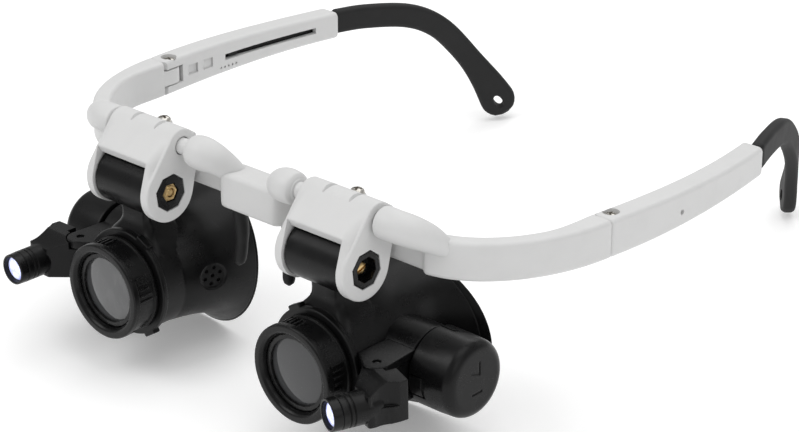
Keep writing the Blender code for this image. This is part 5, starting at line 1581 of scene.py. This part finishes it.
@dataclass
class Lamp:
    """The swinging arm: a tongue between the case's leaves, a scooped boot, a round head, the lamp."""

    battery: Battery
    reach: float = 15.7
    radius: float = 3.9
    offset: float = 7.3
    bezel: float = 2.2
    led: float = 3.0
    neck: float = 7.5
    heel: tuple[float, float] = (3.6, 2.6)
    tongue: float = 4.9
    clear: float = 20.0

    def axis(self) -> tuple[float, float, float]:
        """A point on the head's axis, level with the pin."""
        return (*self.spot(self.offset, 0.0), -self.battery.shell.drop)

    def spot(self, across: float, back: float) -> tuple[float, float]:
        """A plan point measured from the pin."""
        shell, pin = self.battery.shell, self.battery.pin
        return (shell.centre + pin[0] + across, pin[1] + back)

    def head(self) -> Form:
        """The round head with its two ring grooves, running back into the boot."""
        front, back, r = -self.reach + self.bezel + 0.08, -0.45 * self.neck, self.radius
        profile = [(front, 0.0), (front, r - 0.15), (front + 0.15, r)]
        for at in (front + 1.5, front + 2.6):
            profile += [(at, r), (at + 0.1, r - 0.28), (at + 0.35, r - 0.28), (at + 0.45, r)]
        profile += [(-self.neck, r), (-self.neck + 1.6, r - 0.1), (back, r - 0.9), (back, 0.0)]
        return Form.turned(profile, self.axis(), Axis.Y, 64)

    def boot(self) -> Form:
        """The boot between the tongue and the head: a wedge with a scooped side and a lower step."""
        drop, top, o = self.battery.shell.drop, self.battery.top, self.offset
        reach = top - self.battery.leaf - 0.3
        body = hull(circle(self.spot(0.0, 0.0), self.battery.leaf_radius - 0.6, 48) + rounded([
            self.spot(o + self.heel[0], self.heel[1]), self.spot(o + self.heel[0] + 0.3, 0.0),
            self.spot(o + self.radius - 0.3, -self.neck), self.spot(o - self.radius + 0.3, -self.neck)], 0.8))
        made = Form.prism(body, -self.radius - drop, top - drop, Axis.Z, 0.2)
        clear = circle(self.spot(0.0, 0.0), self.battery.leaf_radius + 0.3, 64)
        beside = [self.spot(-self.clear, -0.3), self.spot(self.tongue, -0.3), self.spot(self.tongue, self.clear),
                  self.spot(-self.clear, self.clear)]
        for low, high in ((reach, self.clear), (-self.clear, -reach)):
            for outline in (clear, beside):
                made.cut(Form.prism(outline, low - drop, high - drop, Axis.Z))
        slope = [(mix(-self.neck - 0.6, -1.4, t), mix(self.radius - 0.35, top + 0.1, ease(t))) for t in steps(14)]
        ramp = [Vector((*self.spot(-6.0, back), height - drop)) for back, height in slope]
        above = [Vector((end.x, end.y, self.clear - drop)) for end in (ramp[-1], ramp[0])]
        lid = [ramp + above]
        lid.append([p + Vector((self.clear, 0.0, 0.0)) for p in lid[0]])
        made.cut(Form.loft(lid))
        scoop = circle(self.spot(o + self.radius + 4.2, -3.6), 5.6, 96)
        made.cut(Form.prism(scoop, 0.2 - drop, self.clear - drop, Axis.Z))
        step = circle(self.spot(o + self.radius + 5.0, -4.0), 5.6, 96)
        made.cut(Form.prism(step, -self.clear - drop, 0.3 - drop, Axis.Z))
        return made

    def arm(self) -> Form:
        """The arm."""
        shell, pin = self.battery.shell, self.battery.pin
        made = self.boot()
        made.join(self.head())
        made.cut(Form.turned([(-9, 0.0), (-9, 0.95), (9, 0.95), (9, 0.0)],
                             (shell.centre + pin[0], pin[1], -shell.drop), Axis.Z, 32))
        bore = self.led + 0.2
        made.cut(Form.turned([(-self.reach - 2, 0.0), (-self.reach - 2, bore), (-self.neck - 0.5, bore),
                              (-self.neck - 0.5, 0.0)],
                             self.axis(), Axis.Y, 48))
        return made

    def ring_form(self) -> Form:
        """The bezel round the lamp."""
        front, bore, r = -self.reach, self.led + 0.15, self.radius
        profile = rounded([(front, bore + 0.1), (front, r - 0.1), (front + self.bezel, r),
                           (front + self.bezel, bore), (front + 0.5, bore)], [0.1, 0.5, 0.2, 0.1, 0.2])
        return Form.turned(profile, self.axis(), Axis.Y, 64, closed=True)

    def glow(self) -> Form:
        """The clear domed lamp."""
        front, r = -self.reach, self.led
        dome = [(front + 0.35 + 1.1 * (1.0 - math.cos(a)), r * math.sin(a)) for a in
                (math.radians(90.0 * t) for t in steps(10))]
        dome[0] = (dome[0][0], 0.0)
        return Form.turned([*dome, (-self.neck - 0.7, r), (-self.neck - 0.7, 0.0)], self.axis(), Axis.Y, 48)

    def build(self, shop: Workshop, seat: Seat) -> None:
        """Builds the lamp of the seat's side."""
        word = seat.side.word
        body = f"{word}_lamp"
        shop.piece(f"{word}_arm_moulding", self.arm(), seat, body, BLACK, [f"{word}_lamp_arm"])
        shop.piece(f"{word}_lamp_ring", self.ring_form(), seat, body, BLACK_RING, [f"{word}_lamp_bezel"])
        shop.piece(f"{word}_lamp_dome", self.glow(), seat, body, GLOW, [f"{word}_led"])


# ---------------------------------------------------------------- studio


@dataclass(frozen=True)
class Softbox:
    """One soft rectangular light that faces the object."""

    name: str
    azimuth: float
    elevation: float
    distance: float
    size: tuple[float, float]
    watts: float

    def build(self, target: Vector) -> None:
        """Adds the light."""
        data = bpy.data.lights.new(self.name, "AREA")
        data.shape, data.size, data.size_y, data.energy = "RECTANGLE", *self.size, self.watts
        lamp = bpy.data.objects.new(self.name, data)
        bpy.context.scene.collection.objects.link(lamp)
        a, e = math.radians(self.azimuth), math.radians(self.elevation)
        away = Vector((math.sin(a) * math.cos(e), -math.cos(a) * math.cos(e), math.sin(e)))
        lamp.location = target + away * self.distance
        lamp.rotation_euler = away.to_track_quat("Z", "Y").to_euler()


@dataclass(frozen=True)
class PaleFloor(Finish):
    """A matt, nearly white studio floor."""

    colour: Rgb = (0.93, 0.93, 0.93)

    def material(self) -> bpy.types.Material:
        """The finish's material."""
        recipe = Recipe(self.name)
        cloud = recipe.noise(60.0, 2.0)
        recipe.set(Base_Color=recipe.blend(cloud * 0.3, opaque(self.colour), (0.90, 0.90, 0.90, 1.0)),
                   Roughness=0.85 + cloud * 0.1, Specular_IOR_Level=0.2, Emission_Color=(1.0, 1.0, 1.0, 1.0),
                   Emission_Strength=0.22)
        return recipe.material


@dataclass
class Studio:
    """The camera, the floor and the lights."""

    azimuth: float = 43.3
    elevation: float = 23.4
    distance: float = 642.0
    across: float = 38.45
    lift: float = 0.3
    lens: float = 125.5
    lights: tuple[Softbox, ...] = (
        Softbox("key_softbox", -35.0, 50.0, 0.8, (0.5, 0.4), 1.7),
        Softbox("front_softbox", 75.0, 30.0, 0.8, (0.4, 0.5), 0.5),
        Softbox("top_softbox", 150.0, 75.0, 1.0, (1.2, 0.8), 4.4),
        Softbox("back_softbox", 200.0, 35.0, 0.9, (0.6, 0.3), 0.8),
    )

    def camera(self, seat: Seat) -> None:
        """Adds the camera at the viewing angle, measured in the level frame."""
        a, e = math.radians(self.azimuth), math.radians(self.elevation)
        away = Vector((math.sin(a) * math.cos(e), -math.cos(a) * math.cos(e), math.sin(e)))
        right = Vector((math.cos(a), math.sin(a), 0.0))
        up = away.cross(right)
        spot = right * self.across + up * self.lift + away * self.distance
        data = bpy.data.cameras.new("camera")
        data.lens, data.sensor_width = self.lens, 36.0
        data.clip_start, data.clip_end = 0.05, 20.0
        camera = bpy.data.objects.new("camera", data)
        bpy.context.scene.collection.objects.link(camera)
        turn = seat.matrix().to_3x3().normalized()
        camera.matrix_world = Matrix.Translation(seat.point(*spot)) @ (
            turn @ Matrix((right, up, away)).transposed()).to_4x4()
        bpy.context.scene.camera = camera

    def floor(self) -> None:
        """Adds the floor under the object."""
        mesh = bmesh.new()
        bmesh.ops.create_grid(mesh, x_segments=8, y_segments=8, size=3.0)
        data = bpy.data.meshes.new("floor")
        mesh.to_mesh(data)
        mesh.free()
        data.materials.append(PaleFloor("pale_floor").material())
        floor = bpy.data.objects.new("floor", data)
        floor.location.z = -0.0002
        bpy.context.scene.collection.objects.link(floor)

    def build(self, seat: Seat) -> None:
        """Sets up the studio."""
        self.camera(seat)
        self.floor()
        world = bpy.data.worlds.new("studio_air")
        world.use_nodes = True
        world.node_tree.nodes["Background"].inputs["Color"].default_value = (1.0, 1.0, 1.0, 1.0)
        world.node_tree.nodes["Background"].inputs["Strength"].default_value = 0.46
        bpy.context.scene.world = world
        for light in self.lights:
            light.build(Vector((0.0, -0.02, 0.02)))
        bpy.context.scene.view_settings.view_transform = "Standard"


# ---------------------------------------------------------------- assembly


@dataclass
class Magnifier:
    """The whole object, with its seats read from the frame's joints."""

    frame: dict

    def joint(self, name: str) -> dict:
        """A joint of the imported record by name."""
        return next(j for j in self.frame["joints"] if j["name"] == name)

    def seats(self, side: Side) -> tuple[Seat, Seat, Seat]:
        """The level, loupe and lamp seats of a side."""
        tilts = [Vector(self.joint(f"{s.word}_loupe_tilt")["pos_m"]) for s in Side]
        origin = (tilts[0] + tilts[1]) / 2
        across = Vector((1.0, 0.0, 0.0))
        up = Vector(self.joint("left_temple_fold")["axis"]).normalized()
        lamp_up = Vector(self.joint("left_lamp_swing")["axis"]).normalized()
        level = Seat(origin, up.cross(across), up, side)
        loupe = Seat(origin, lamp_up.cross(across), lamp_up, side)
        battery = Battery(LoupeShell())
        pin = (battery.shell.centre + battery.pin[0], battery.pin[1])
        swing = math.radians(-20.0 if side is Side.LEFT else 2.0)
        return level, loupe, Seat(origin, loupe.y, loupe.z, side, swing, pin)

    def build(self) -> None:
        """Builds every piece."""
        shop = Workshop(self.frame)
        front = FrontFrame()
        front.build(shop, self.seats(Side.LEFT)[0])
        for side in Side:
            level, loupe, lamp = self.seats(side)
            NosePad().build(shop, level)
            Temple(front).build(shop, level)
            Bracket(front).build(shop, level)
            shell = LoupeShell()
            shell.build(shop, loupe)
            LensUnit(shell, turn=10.0 if side is Side.LEFT else 75.0).build(shop, loupe)
            battery = Battery(shell)
            battery.build(shop, loupe)
            Lamp(battery).build(shop, lamp)
        Studio().build(self.seats(Side.LEFT)[0])


def main() -> None:
    """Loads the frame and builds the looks."""
    logging.basicConfig(level=logging.INFO, format="%(message)s")
    bpy.ops.object.select_all(action="DESELECT")
    for item in list(bpy.data.objects):
        bpy.data.objects.remove(item, do_unlink=True)
    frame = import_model()
    Magnifier(frame).build()
    bpy.context.view_layer.update()


if __name__ == "__main__":
    main()
